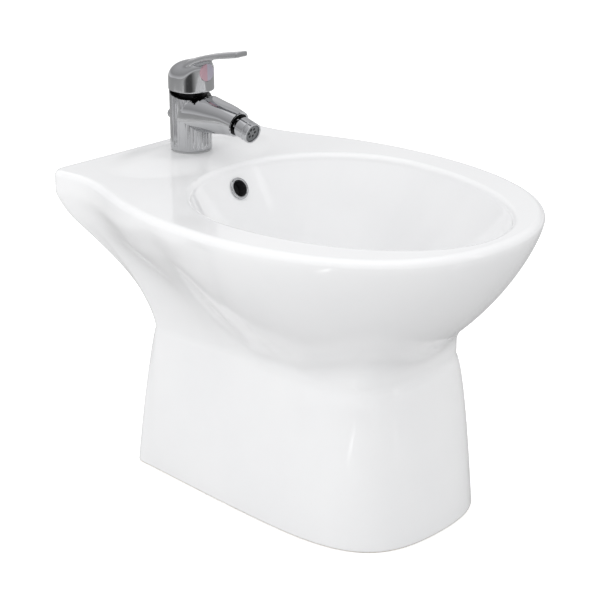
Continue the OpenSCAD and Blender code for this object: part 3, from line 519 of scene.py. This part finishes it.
def glaze_material():
    """White glaze with pinholes and a slow wave in its gloss, and a bare biscuit edge at the floor."""
    m = Surface("vitreous_glaze")
    colour = m.tones(m.noise(7, 4, 0.55), (0.855, 0.858, 0.868), (0.885, 0.887, 0.893))
    pinhole, clean = (0.93, 0.92, 0.9), (1, 1, 1)
    pins = m.ramp(m.noise(900, 1, 0.4), "Fac", [(0.0, pinhole), (0.22, pinhole), (0.26, clean), (1, clean)])
    glazed = m.new("ShaderNodeMix", {"Factor": 1.0}, data_type="RGBA", blend_type="MULTIPLY")
    m.link(colour, "Color", glazed, MIX_A)
    m.link(pins, "Color", glazed, MIX_B)
    place = m.new("ShaderNodeSeparateXYZ")
    m.link(m.where, "Object", place, "Vector")
    ragged = 0.0016
    height = m.new("ShaderNodeMath", {1: ragged}, operation="MULTIPLY_ADD")
    m.link(m.noise(220, 3, 0.6), "Fac", height, 0)
    m.link(place, "Z", height, 2)
    bare = m.map_range(height, "Value", ragged, ragged + 0.0008, 1, 0)
    biscuit = m.tones(m.noise(400, 4, 0.7), (0.63, 0.57, 0.48), (0.74, 0.69, 0.6))
    mixed = m.mix((bare, "Result"), (glazed, MIX_COLOUR), (biscuit, "Color"))
    m.link(mixed, MIX_COLOUR, m.shader, "Base Color")
    gloss = m.map_range(m.noise(38, 2, 0.45), "Fac", 0.3, 0.7, 0.09, 0.15)
    biscuit_rough = 0.85
    rough = m.new("ShaderNodeMix", {FLOAT_B: biscuit_rough}, data_type="FLOAT")
    m.link(bare, "Result", rough, MIX_FACTOR)
    m.link(gloss, "Result", rough, FLOAT_A)
    m.link(rough, FLOAT_RESULT, m.shader, "Roughness")
    broad = m.bump(m.noise(24, 2, 0.5), 0.0002, 0.25)
    m.bump(m.noise(420, 2, 0.5), 0.00002, 0.12, broad)
    m.set(IOR=1.52, Coat_Weight=0.4, Coat_Roughness=0.07, Coat_IOR=1.5)
    return m.mat


def metal_material(name, low, high, rough=(0.05, 0.1), squeeze=(1, 1, 1), grain=60, depth=0.00002):
    """Metal with slight tone variation, wiped smears in its gloss and a fine grain."""
    m = Surface(name)
    m.link(m.tones(m.noise(14, 3, 0.5), low, high), "Color", m.shader, "Base Color")
    m.gloss(m.noise(grain, 5, 0.62, squeeze), 0.35, 0.7, rough)
    m.bump(m.noise(grain * 14, 2, 0.5, squeeze), depth, 0.3)
    m.set(Metallic=1.0)
    return m.mat


def moulded_material(name, low, high, rough=(0.35, 0.5), grain=900, depth=0.00006, **shader):
    """Rubber or moulded plastic with a fine moulded grain."""
    m = Surface(name)
    m.link(m.tones(m.noise(40, 4, 0.6), low, high), "Color", m.shader, "Base Color")
    m.gloss(m.noise(120, 3, 0.5), 0.3, 0.7, rough)
    m.bump(m.noise(grain, 3, 0.6), depth, 0.6)
    m.set(**shader)
    return m.mat


BY_SLOT = {
    "ceramic": glaze_material(),
    "chrome": metal_material("polished_chrome", (0.52, 0.525, 0.535), (0.56, 0.565, 0.575)),
    "steel": metal_material("zinc_steel", (0.50, 0.50, 0.51), (0.60, 0.60, 0.60),
                            rough=(0.25, 0.42), squeeze=(1, 1, 0.15), grain=160, depth=0.00005),
    "brass": metal_material("machined_brass", (0.62, 0.44, 0.19), (0.74, 0.55, 0.27),
                            rough=(0.18, 0.3), squeeze=(1, 1, 6), grain=120, depth=0.00004),
    "rubber": moulded_material("black_rubber", (0.016, 0.016, 0.018), (0.03, 0.03, 0.032), rough=(0.55, 0.75)),
    "white_plastic": moulded_material("white_acetal", (0.72, 0.72, 0.7), (0.8, 0.8, 0.78), rough=(0.3, 0.42)),
    "disc": moulded_material("lapped_disc", (0.72, 0.7, 0.65), (0.8, 0.78, 0.74),
                             rough=(0.12, 0.2), grain=1500, depth=0.00001),
    "hot": moulded_material("red_enamel", (0.44, 0.27, 0.32), (0.50, 0.32, 0.37),
                            rough=(0.12, 0.2), grain=600, depth=0.00002, Coat_Weight=0.5),
    "cold": moulded_material("blue_enamel", (0.37, 0.35, 0.42), (0.42, 0.40, 0.47),
                             rough=(0.12, 0.2), grain=600, depth=0.00002, Coat_Weight=0.5)}
# Near-black metal for pieces that sit in the mixer's shadowed gaps: painted shade, not a black plating of the real
# tap.
SHADE_BLACK = metal_material("painted_shade_black", (0.012, 0.012, 0.013), (0.02, 0.02, 0.021),
                             rough=(0.25, 0.4), squeeze=(1, 1, 4), grain=120, depth=0.00003)
AERATOR = moulded_material("grey_aerator", (0.13, 0.135, 0.14), (0.17, 0.175, 0.18))
CLEAR_GASKET = moulded_material("clear_gasket", (0.34, 0.345, 0.35), (0.4, 0.405, 0.41), rough=(0.3, 0.42))


def dress(obj, material):
    obj.data.materials.clear()
    obj.data.materials.append(material)


def finish_piece(obj, body, slot_name, *nodes):
    """Gives a piece its finish and its body, and hides the CAD nodes that it stands for."""
    dress(obj, BY_SLOT[slot_name])
    if nodes:
        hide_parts(*nodes)
    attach(obj, body)
    return obj


slot_of = {part["node"]: part["material_slot"] for part in frame["record"]["subparts"]}
for node_name, node in frame["nodes"].items():
    dress(node, BY_SLOT[slot_of[node_name]])

pan = skin("pan_glazed", [0, -WASTE_AHEAD, BOWL_FLOOR], pan_rings(), [0, -WASTE_AHEAD, BOWL_FLOOR - WALL])
cut_pan(pan)
finish_piece(pan, "pan", "ceramic", "ceramic_body")

# mixer
TAP = Matrix.Translation(Vector((0, TAP_Y, TAP_Z)))
NOZZLE_DROP = math.radians(16)
SPOUT_MID = 43.5
NOZZLE = TAP @ Matrix.Translation(Vector((0, -74, 46))) @ Matrix.Rotation(math.pi / 2 + NOZZLE_DROP, 4, "X")
COLUMN_R, COLUMN_TOP = 25.35, 90
RECESS_R = 33
NUT_BORE_R, CARTRIDGE_R = 12.85, 19.8
CARTRIDGE_BORE_R, BORE_FLOOR = 19.95, 38
ROD_Y, ROD_HOLE_R = 13.5, 2.55
SOCKET_R, COLLAR_R, MOUTH_R = 11.35, 13, 13.6
PLATING_EDGE = 0.5


def at_tap(points):
    return np.asarray(points, float) + [0, TAP_Y, TAP_Z]


def rounded(profile, radius, steps=5):
    """Rounds the corners of an open [radius, z] profile, except its ends."""
    out = [profile[0]]
    for a, b, c in zip(profile, profile[1:], profile[2:]):
        a, b, c = (np.array(v, float) for v in (a, b, c))
        cut = min(radius, np.linalg.norm(a - b) / 2.05, np.linalg.norm(c - b) / 2.05)
        start, end = b + (a - b) / np.linalg.norm(a - b) * cut, b + (c - b) / np.linalg.norm(c - b) * cut
        for t in np.linspace(0, 1, steps):
            out.append(tuple((1 - t) ** 2 * start + 2 * t * (1 - t) * b + t * t * end))
    out.append(profile[-1])
    return out


def spout_sections():
    """Sections from the column's middle to the spout's mouth: a round belly, a small ledge and a domed upper half."""
    sections = []
    for y in np.concatenate([np.linspace(-2, -72, 24), np.linspace(-74, -82.65, 6)]):
        far = -y
        w = 25.53 + y * 0.121
        crease = np.interp(far, [0, 18, 66, 83], [37.5, 39.5, 45.3, SPOUT_MID])
        top = np.interp(far, [0, 25, 36, 60, 83], [70, 69.6, 68.3, 63.8, 59])
        low = np.interp(far, [0, 25, 36, 48, 60, 83], [23, 23.5, 24.3, 25.6, 26.8, 28])
        end_a = math.radians(np.interp(far, [66, 83], [66, 90]))
        belly_a = np.linspace(0, end_a, 17)
        ledge = 0.9 * smooth((far - 4) / 8) * smooth((74 - far) / 10)
        belly = np.column_stack([(w - ledge) * np.sin(belly_a) / math.sin(end_a),
                                 low + (crease - ledge - low) * (1 - np.cos(belly_a)) / (1 - math.cos(end_a))])
        belly = np.concatenate([belly, [[w - ledge + 0.01, crease - ledge * 0.35], [w, crease - ledge * 0.3]]])
        upper_a = np.radians(np.linspace(0, 90, 25))[1:]
        power = 2 / np.interp(far, [0, 60, 83], [2.9, 2.7, 2.02])
        upper = np.column_stack([w * np.cos(upper_a) ** power, crease + (top - crease) * np.sin(upper_a) ** power])
        upper[-1, 0] = 0
        half = np.concatenate([belly, upper])
        x, z = np.concatenate([half, half[-2:0:-1] * [-1, 1]]).T
        tilt = smooth((far - 40) / 42.65) * math.tan(NOZZLE_DROP)
        sections.append(at_tap(np.column_stack([x, y - (z - SPOUT_MID) * tilt, z])))
    return sections


def recess_floor(y):
    """Keeps the floor under the lowest place that the hub's lip reaches when it is turned and lowered."""
    return np.interp(y, [-26, -20, -16, -12, -8, -4, 0, 4, 8, 12, 16, 20, 26],
                     [61.5, 64.15, 64.55, 64.75, 65.15, 65.73, 66.44, 67.27, 68.27, 69.3, 70.6, 71.8, 71.8])


def recess_ring(r, rise=0.0):
    """Ring on the recess's floor, or a little above it."""
    return [[r * math.cos(a), r * math.sin(a), recess_floor(r * math.sin(a)) + rise] for a in circle(96)]


def hub_recess():
    """Room under the lever's hub: round in plan, its floor dipping towards the front."""
    rings = [recess_ring(r) for r in np.linspace(0, RECESS_R, 23)[1:]]
    rings += [[[r * math.cos(a), r * math.sin(a), 130] for a in circle(96)] for r in (RECESS_R, 0.5)]
    n = len(rings[0])
    points = np.concatenate([[[0, 0, recess_floor(0)]], *rings])
    lid = tuple(range(len(points) - n, len(points)))
    return mesh_from("cut", at_tap(points), fan(n) + bands(1, n, len(rings)) + [lid])


def column_and_spout(name):
    column = rounded([(0, 0), (24.6, 0), (COLUMN_R, 0.9), (COLUMN_R, COLUMN_TOP), (0, COLUMN_TOP)], 0.6)
    body = lathe(name, column, 128, TAP)
    boolean(body, loft("add", spout_sections()), "UNION")
    return body


def build_nut_and_shade_ring():
    """Cartridge nut and a ring lying on the floor of the hub's recess; the piece is later made near-black as painted
    shade for the dark gap under the hub.
    """
    shade_ring = column_and_spout("nut_shell")
    inset = Matrix.Translation(Vector((0, TAP_Y * MM, 0)))
    shade_ring.data.transform(inset @ Matrix.Diagonal((0.982, 0.982, 1, 1)) @ inset.inverted())
    radii_out = [19.9, 23, 26, 29, 32.4]
    loop = [(19.9, 0.05)] + [(r, 0.8) for r in radii_out] + [(r, 0.05) for r in radii_out[:0:-1]]
    points = [p for r, rise in loop for p in recess_ring(r, rise)]
    n, rows = 96, len(loop)
    faces = [(j * n + k, j * n + (k + 1) % n, (j + 1) % rows * n + (k + 1) % n, (j + 1) % rows * n + k)
             for j in range(rows) for k in range(n)]
    boolean(shade_ring, mesh_from("cut", at_tap(points), faces), "INTERSECT")
    nut = [(NUT_BORE_R, 64), (NUT_BORE_R, 70), (CARTRIDGE_R, 70), (CARTRIDGE_R, 64)]
    boolean(shade_ring, lathe("add", nut, 96, TAP, 30, True), "UNION")
    return shade_ring


def build_mixer_body():
    """Column and spout with the recess, the cartridge's bore, the rod's slot at the back and the nozzle's socket."""
    body = column_and_spout("mixer_shell")
    bowl = [(SOCKET_R * math.sin(a), -SOCKET_R * math.cos(a)) for a in np.radians(np.linspace(6, 90, 15))]
    collar = [(SOCKET_R, 4.5), (COLLAR_R, 4.5), (COLLAR_R, 8.2), (MOUTH_R, 8.8), (MOUTH_R, 40), (0, 40)]
    for cutter in [hub_recess(),
                   cylinder("cut", (0, TAP_Y, TAP_Z + BORE_FLOOR), (0, TAP_Y, TAP_Z + 120), CARTRIDGE_BORE_R, 96),
                   cylinder("cut", (0, TAP_Y + ROD_Y, TAP_Z - 1), (0, TAP_Y + ROD_Y, TAP_Z + 37.6), ROD_HOLE_R, 32),
                   box("cut", (-2, 2), (TAP_Y + ROD_Y, TAP_Y + 40), (TAP_Z + 4.4, TAP_Z + 35.6)),
                   lathe("cut", [(0, -SOCKET_R)] + bowl + collar, 96, NOZZLE)]:
        boolean(body, cutter, "DIFFERENCE")
    edge_bevel(body, PLATING_EDGE, 32)
    return body


def edge_bevel(obj, width, degrees):
    """Small rounded edge, as plating and polishing leave it."""
    bevel = obj.modifiers.new("edge", "BEVEL")
    bevel.width = width * MM
    bevel.segments = 3
    bevel.limit_method = "ANGLE"
    bevel.angle_limit = math.radians(degrees)
    bevel.harden_normals = False
    bevel.use_clamp_overlap = True


HUB_R = 26.25
HUB_LEAD = 4.5
HUB_LOW = 73.2
HUB_POWER = 2.45
BADGE_R, BADGE_Z, BADGE_DEPTH = 10.6, 97.0, 1.4
BLADE_TIP, TIP_ROUND, TIP_SHRINK = 88.6, 1.4, 0.9
BLADE_POWERS = 2 / 7, 2 / 6


def lever_top(y):
    return 109.3 - 0.24 * y


def hub_plan():
    """Outline of the hub from above: round, drawn forward in front."""
    bearing = circle(144)
    lead = HUB_LEAD * np.where(np.cos(bearing) > 0, 1, 0) * smooth(np.cos(bearing) * 2.5)
    return bearing, HUB_R * np.sin(bearing), -HUB_R * np.cos(bearing) - lead


def hub_rings():
    """Rings of the hub: a rounded lip, a straight skirt and a dome whose shoulder rises towards the front."""
    bearing, plan_x, plan_y = hub_plan()
    shoulder = 86 + 15 * smooth((np.cos(bearing) - 0.2) / 0.7)
    rings = []
    for z, inset in [(HUB_LOW, 0.8), (HUB_LOW + 0.25, 0.25), (HUB_LOW + 0.8, 0)]:
        k = 1 - inset / HUB_R
        rings.append(np.column_stack([plan_x * k, plan_y * k, np.full(len(bearing), z)]))
    for t in np.linspace(0.15, 1, 9):
        rings.append(np.column_stack([plan_x, plan_y, HUB_LOW + 0.8 + (shoulder - HUB_LOW - 0.8) * t]))
    depth = lever_top(plan_y) - shoulder
    for a in np.radians(np.linspace(0, 90, 34))[1:-1]:
        rho = math.cos(a) ** (2 / HUB_POWER)
        x, y = plan_x * rho, plan_y * rho
        rings.append(np.column_stack([x, y, lever_top(y) - depth * (1 - math.sin(a) ** (2 / HUB_POWER))]))
    return [at_tap(r) for r in rings]


def blade_sections():
    """Sections of the lever's blade, crowned at its root and squared at its tip."""
    sections = []
    for y in np.concatenate([np.linspace(-4, -84, 32), np.linspace(-85, -90, 10)]):
        far = -y
        w = np.interp(far, [0, 12, 20, 28, 36, 46, 60, 75, 90], [20.5, 20.3, 19.2, 17.6, 15.6, 13.2, 11, 9.8, 9.4])
        top = np.interp(far, [0, 13, 38, 60, 90], [108, 113.6, 120.9, 125.8, 131.9])
        bow = np.interp(far, [0, 14, 26, 40, 90], [9, 6, 2.4, 0.7, 0.3])
        thick = np.interp(far, [0, 30, 60, 90], [6.4, 5.6, 5.9, 6.6])
        tip = max(far - BLADE_TIP, 0) / TIP_ROUND
        shrink = TIP_SHRINK * (1 - math.sqrt(max(1 - tip**2, 0)))
        half_t, mid = thick / 2 - shrink, top - thick / 2
        a = circle(80)
        x = (w - shrink) * np.sign(np.cos(a)) * abs(np.cos(a)) ** BLADE_POWERS[0]
        z = mid + half_t * np.sign(np.sin(a)) * abs(np.sin(a)) ** BLADE_POWERS[1] - bow * (x / w) ** 2
        sections.append(at_tap(np.column_stack([x, np.full(len(a), y), z])))
    return sections


def blend_surface(obj, cell, rounds):
    """Remeshes a union to an even grid and eases its creases, most of all where the blade leaves the hub."""
    remesh = obj.modifiers.new("even", "REMESH")
    remesh.mode = "VOXEL"
    remesh.voxel_size = cell * MM
    remesh.use_smooth_shade = True
    baked = apply_modifiers(obj)
    count = len(baked.vertices)
    at = np.empty(count * 3)
    baked.vertices.foreach_get("co", at)
    at = at.reshape(-1, 3)
    ends = np.empty(len(baked.edges) * 2, dtype=int)
    baked.edges.foreach_get("vertices", ends)
    a, b = ends.reshape(-1, 2).T
    links = np.bincount(a, minlength=count) + np.bincount(b, minlength=count)
    ahead, above = TAP_Y - at[:, 1] / MM, at[:, 2] / MM - TAP_Z
    share = (0.6 * smooth((62 - ahead) / 26) * smooth((above - 82) / 8) + 0.03)[:, None]
    for _ in range(rounds):
        near = np.stack([np.bincount(a, at[b, k], count) + np.bincount(b, at[a, k], count) for k in range(3)], 1)
        at = at + share * (near / links[:, None] - at)
    baked.vertices.foreach_set("co", at.ravel())
    baked.update()


def build_lever():
    rings = hub_rings()
    lever = skin("lever_shell", rings[0].mean(axis=0), rings, at_tap([0, 0, lever_top(0)]))
    boolean(lever, loft("add", blade_sections()), "UNION")
    blend_surface(lever, 0.6, 16)
    _, plan_x, plan_y = hub_plan()
    inner = [at_tap(np.column_stack([plan_x * k, plan_y * k, np.full(len(plan_x), z)]))
             for z, k in [(60, 0.878), (79, 0.878), (82, 0.85), (84, 0.76)]]
    hub_front = TAP_Y - HUB_R
    for cutter in [loft("cut", inner),
                   lathe("cut", [(0, 83), (19.4, 83), (19, 94), (8.5, 94), (8.5, 90.5), (0, 90.5)], 96, TAP),
                   cylinder("cut", (0, hub_front - HUB_LEAD + BADGE_DEPTH, TAP_Z + BADGE_Z),
                            (0, hub_front - 30, TAP_Z + BADGE_Z), BADGE_R, 72)]:
        boolean(lever, cutter, "DIFFERENCE")
    shade(lever.data, 35)
    edge_bevel(lever, PLATING_EDGE, 38)
    return lever


def build_nozzle():
    """Aerator housing: a full cup behind, a groove and a bright end ring."""
    profile = rounded([(5.55, 15), (5.55, 11.8), (9.0, 12.3), (11.6, 13.2), (12.5, 15), (12.5, 26.4), (11.5, 26.8),
                       (11.5, 28.0), (12.5, 28.4), (12.5, 34), (10.9, 34), (10.52, 33.4), (10.52, 15)], 0.5)
    return lathe("nozzle_shell", profile, 96, NOZZLE, 30, True)


def build_knob():
    """Ball knob of the pop-up rod, on a short pin."""
    pin = cylinder("knob_shell", (0, TAP_Y + 12, TAP_Z + 33), (0, TAP_Y + 31, TAP_Z + 33), 1.6, 32)
    boolean(pin, ball("add", (0, TAP_Y + 32.85, TAP_Z + 36.6), 6.2), "UNION")
    shade(pin.data, 40)
    return pin


def build_bezel():
    """Rim of the overflow, standing a little proud of the bowl's wall."""
    profile = rounded([(10.2, -12), (10.2, 2.6), (11.2, 3.4), (12.6, 3.1), (13.5, 1.9), (13.5, 1.3), (10.6, 1.3),
                       (10.6, -12)], 0.5)
    return lathe("overflow_bezel", profile, 96, OVERFLOW_AT, 30, True)


def build_shadow_liner():
    """Black sleeve behind the overflow's rim: painted shade for the dark throat of the overflow."""
    profile = [(10.15, 2.0), (10.15, -13), (4.5, -13), (4.5, -12.2), (9.7, -12.2), (9.7, 2.0)]
    return lathe("overflow_shadow_liner", profile, 96, OVERFLOW_AT, 30, True)


finish_piece(build_mixer_body(), "pan", "chrome", "mixer_body")
finish_piece(build_lever(), "lever", "chrome", "lever_handle")
finish_piece(build_nozzle(), "nozzle", "chrome", "aerator_housing")
finish_piece(build_knob(), "lift", "chrome", "lift_knob")
finish_piece(build_bezel(), "pan", "chrome", "overflow_ring")
# The liner's black rubber is painted shade inside the overflow.
finish_piece(build_shadow_liner(), "pan", "rubber")
# The nut piece and its ring are made near-black: painted shade for the dark gap under the hub.
nut = finish_piece(build_nut_and_shade_ring(), "pan", "brass", "cartridge_nut")
nut.data.materials[0] = SHADE_BLACK
# The nozzle's collar and the dome cap get the near-black as painted shade in the gaps round them.
for node_name, material in {"nozzle_collar": SHADE_BLACK, "dome_cap": SHADE_BLACK, "aerator_insert": AERATOR,
                            "tap_gasket": CLEAR_GASKET}.items():
    frame["nodes"][node_name].data.materials[0] = material

# stage, light and camera
def world_light():
    """White for the camera, a graded room for mirror reflections and an even light for all else."""
    world = bpy.data.worlds.new("studio")
    bpy.context.scene.world = world
    g = Graph(world, "ShaderNodeOutputWorld")
    paths = g.new("ShaderNodeLightPath")
    white = (1, 1, 1, 1)
    plain = g.new("ShaderNodeBackground", {"Color": white, "Strength": 1.04})
    seen = g.new("ShaderNodeBackground", {"Color": white, "Strength": 1.0})
    room = g.new("ShaderNodeBackground")
    split = g.new("ShaderNodeSeparateXYZ")
    g.link(g.where, "Generated", split, 0)
    rise = g.map_range(split, "Z", -1, 1, 0, 1)
    greys = [(0.0, 0.85), (0.45, 0.8), (0.56, 0.4), (0.75, 0.55), (1.0, 0.75)]
    ramp = g.ramp(rise, "Result", [(at, (value, value, value * 1.02)) for at, value in greys])
    g.link(ramp, "Color", room, "Color")
    bright_side = Vector((0.68, 0.64, 0.31)).normalized()
    toward = g.new("ShaderNodeVectorMath", {1: bright_side}, operation="DOT_PRODUCT")
    g.link(g.where, "Generated", toward, 0)
    patch = g.map_range(toward, "Value", 0.95, 0.99, 1.0, 1.3, interpolation_type="SMOOTHSTEP")
    g.link(patch, "Result", room, "Strength")
    glossy = g.new("ShaderNodeMixShader")
    g.link(paths, "Is Glossy Ray", glossy, 0)
    g.link(plain, 0, glossy, 1)
    g.link(room, 0, glossy, 2)
    shown = g.new("ShaderNodeMixShader")
    g.link(paths, "Is Camera Ray", shown, 0)
    g.link(glossy, 0, shown, 1)
    g.link(seen, 0, shown, 2)
    g.link(shown, 0, g.out, "Surface")


FLOOR_HALF = 4000
DARK_AT = (-1.7, -0.75, 0)


def streak(m, x, y, turn, half_l, half_w, power):
    """Soft oval patch of light on the floor, in metres."""
    spot = m.new("ShaderNodeMapping", {"Location": (x, y, 0), "Rotation": (0, 0, math.radians(turn)),
                                       "Scale": (half_l, half_w, 1)}, vector_type="TEXTURE")
    m.link(m.where, "Object", spot, "Vector")
    fall = m.new("ShaderNodeTexGradient", gradient_type="SPHERICAL")
    m.link(spot, "Vector", fall, "Vector")
    return m.map_range(fall, "Fac", 0.1, 0.5, 0.0, power)


def floor():
    """Pale floor; its darker side and its two streaks of light show only in mirror reflections."""
    h = FLOOR_HALF
    obj = mesh_from("floor", [(-h, -h, 0), (h, -h, 0), (h, h, 0), (-h, h, 0)], [(0, 1, 2, 3)])
    m = Surface("floor_pale")
    pale = m.tones(m.noise(2, 3, 0.5), (0.9, 0.9, 0.9), (0.93, 0.93, 0.93))
    dull = m.tones(m.noise(2, 3, 0.5), (0.6, 0.6, 0.6), (0.62, 0.62, 0.62))
    paths = m.new("ShaderNodeLightPath")
    plain = m.mix((paths, "Is Camera Ray"), (dull, "Color"), (pale, "Color"))
    away = m.new("ShaderNodeVectorMath", {1: DARK_AT}, operation="DISTANCE")
    m.link(m.where, "Object", away, 0)
    dim = m.map_range(away, "Value", 0.45, 1.3, 0.02, 0.42)
    seen = m.mix((paths, "Is Glossy Ray"), (plain, MIX_COLOUR), (dim, "Result"))
    m.link(seen, MIX_COLOUR, m.shader, "Base Color")
    m.set(Roughness=0.6, Emission_Color=(1, 1, 1, 1), Emission_Strength=0.0)
    glow = m.map_range(paths, "Is Camera Ray", 0, 1, 0.0, 0.35)
    streaks = m.new("ShaderNodeMath", operation="ADD")
    m.link(streak(m, -0.685, -0.275, 25.9, 0.28, 0.03, 2.6), "Result", streaks, 0)
    m.link(streak(m, 0.13, -0.85, -73, 0.4, 0.035, 0.7), "Result", streaks, 1)
    shown = m.new("ShaderNodeMath", operation="MULTIPLY_ADD")
    m.link(paths, "Is Glossy Ray", shown, 0)
    m.link(streaks, "Value", shown, 1)
    m.link(glow, "Result", shown, 2)
    m.link(shown, "Value", m.shader, "Emission Strength")
    obj.data.materials.append(m.mat)


def softbox(name, at, aim, width, height, power, seen=True):
    """Area lamp aimed at a point; one that isn't seen gives light but no mirror image."""
    light = bpy.data.lights.new(name, "AREA")
    light.shape = "RECTANGLE"
    light.size, light.size_y = width, height
    light.energy = power
    obj = add_object(name, light)
    obj.location = at
    obj.rotation_euler = (Vector(aim) - Vector(at)).to_track_quat("-Z", "Y").to_euler()
    if not seen:
        obj.visible_glossy = False
        obj.visible_camera = False


def camera():
    """Camera of the photo, from the fit of the rim, the foot and both silhouettes."""
    cam = add_object("camera", bpy.data.cameras.new("camera"))
    azimuth, rise, distance = math.radians(-46.89), math.radians(21.159), 2.0
    back = Vector((math.sin(azimuth) * math.cos(rise), -math.cos(azimuth) * math.cos(rise), math.sin(rise)))
    cam.location = Vector((0, 0, 0.2302)) + back * distance
    cam.rotation_euler = (-back).to_track_quat("-Z", "Y").to_euler()
    cam.data.sensor_width = 36
    cam.data.lens = 101.96
    cam.data.shift_x = -0.0207
    cam.data.shift_y = 0.0049
    cam.data.clip_end = 50
    bpy.context.scene.camera = cam


world_light()
floor()
softbox("top_softbox", (-0.3, -0.2, 2.2), (0, 0, 0.3), 2.0, 2.0, 3.5)
softbox("strip_softbox", (0.9, -2.0, 1.1), (0, 0, 0.25), 0.25, 1.6, 1.2)
softbox("left_fill", (-2.5, 0.3, 0.7), (0, 0, 0.25), 1.8, 1.2, 4, seen=False)
softbox("flank_fill", (-1.7, 0.9, 0.2), (-0.15, 0.1, 0.3), 1.4, 0.3, 4.5, seen=False)
softbox("front_fill", (-1.2, -2.2, 0.7), (0, 0, 0.2), 1.8, 1.2, 2.5, seen=False)
camera()
bpy.context.scene.view_settings.view_transform = "Standard"
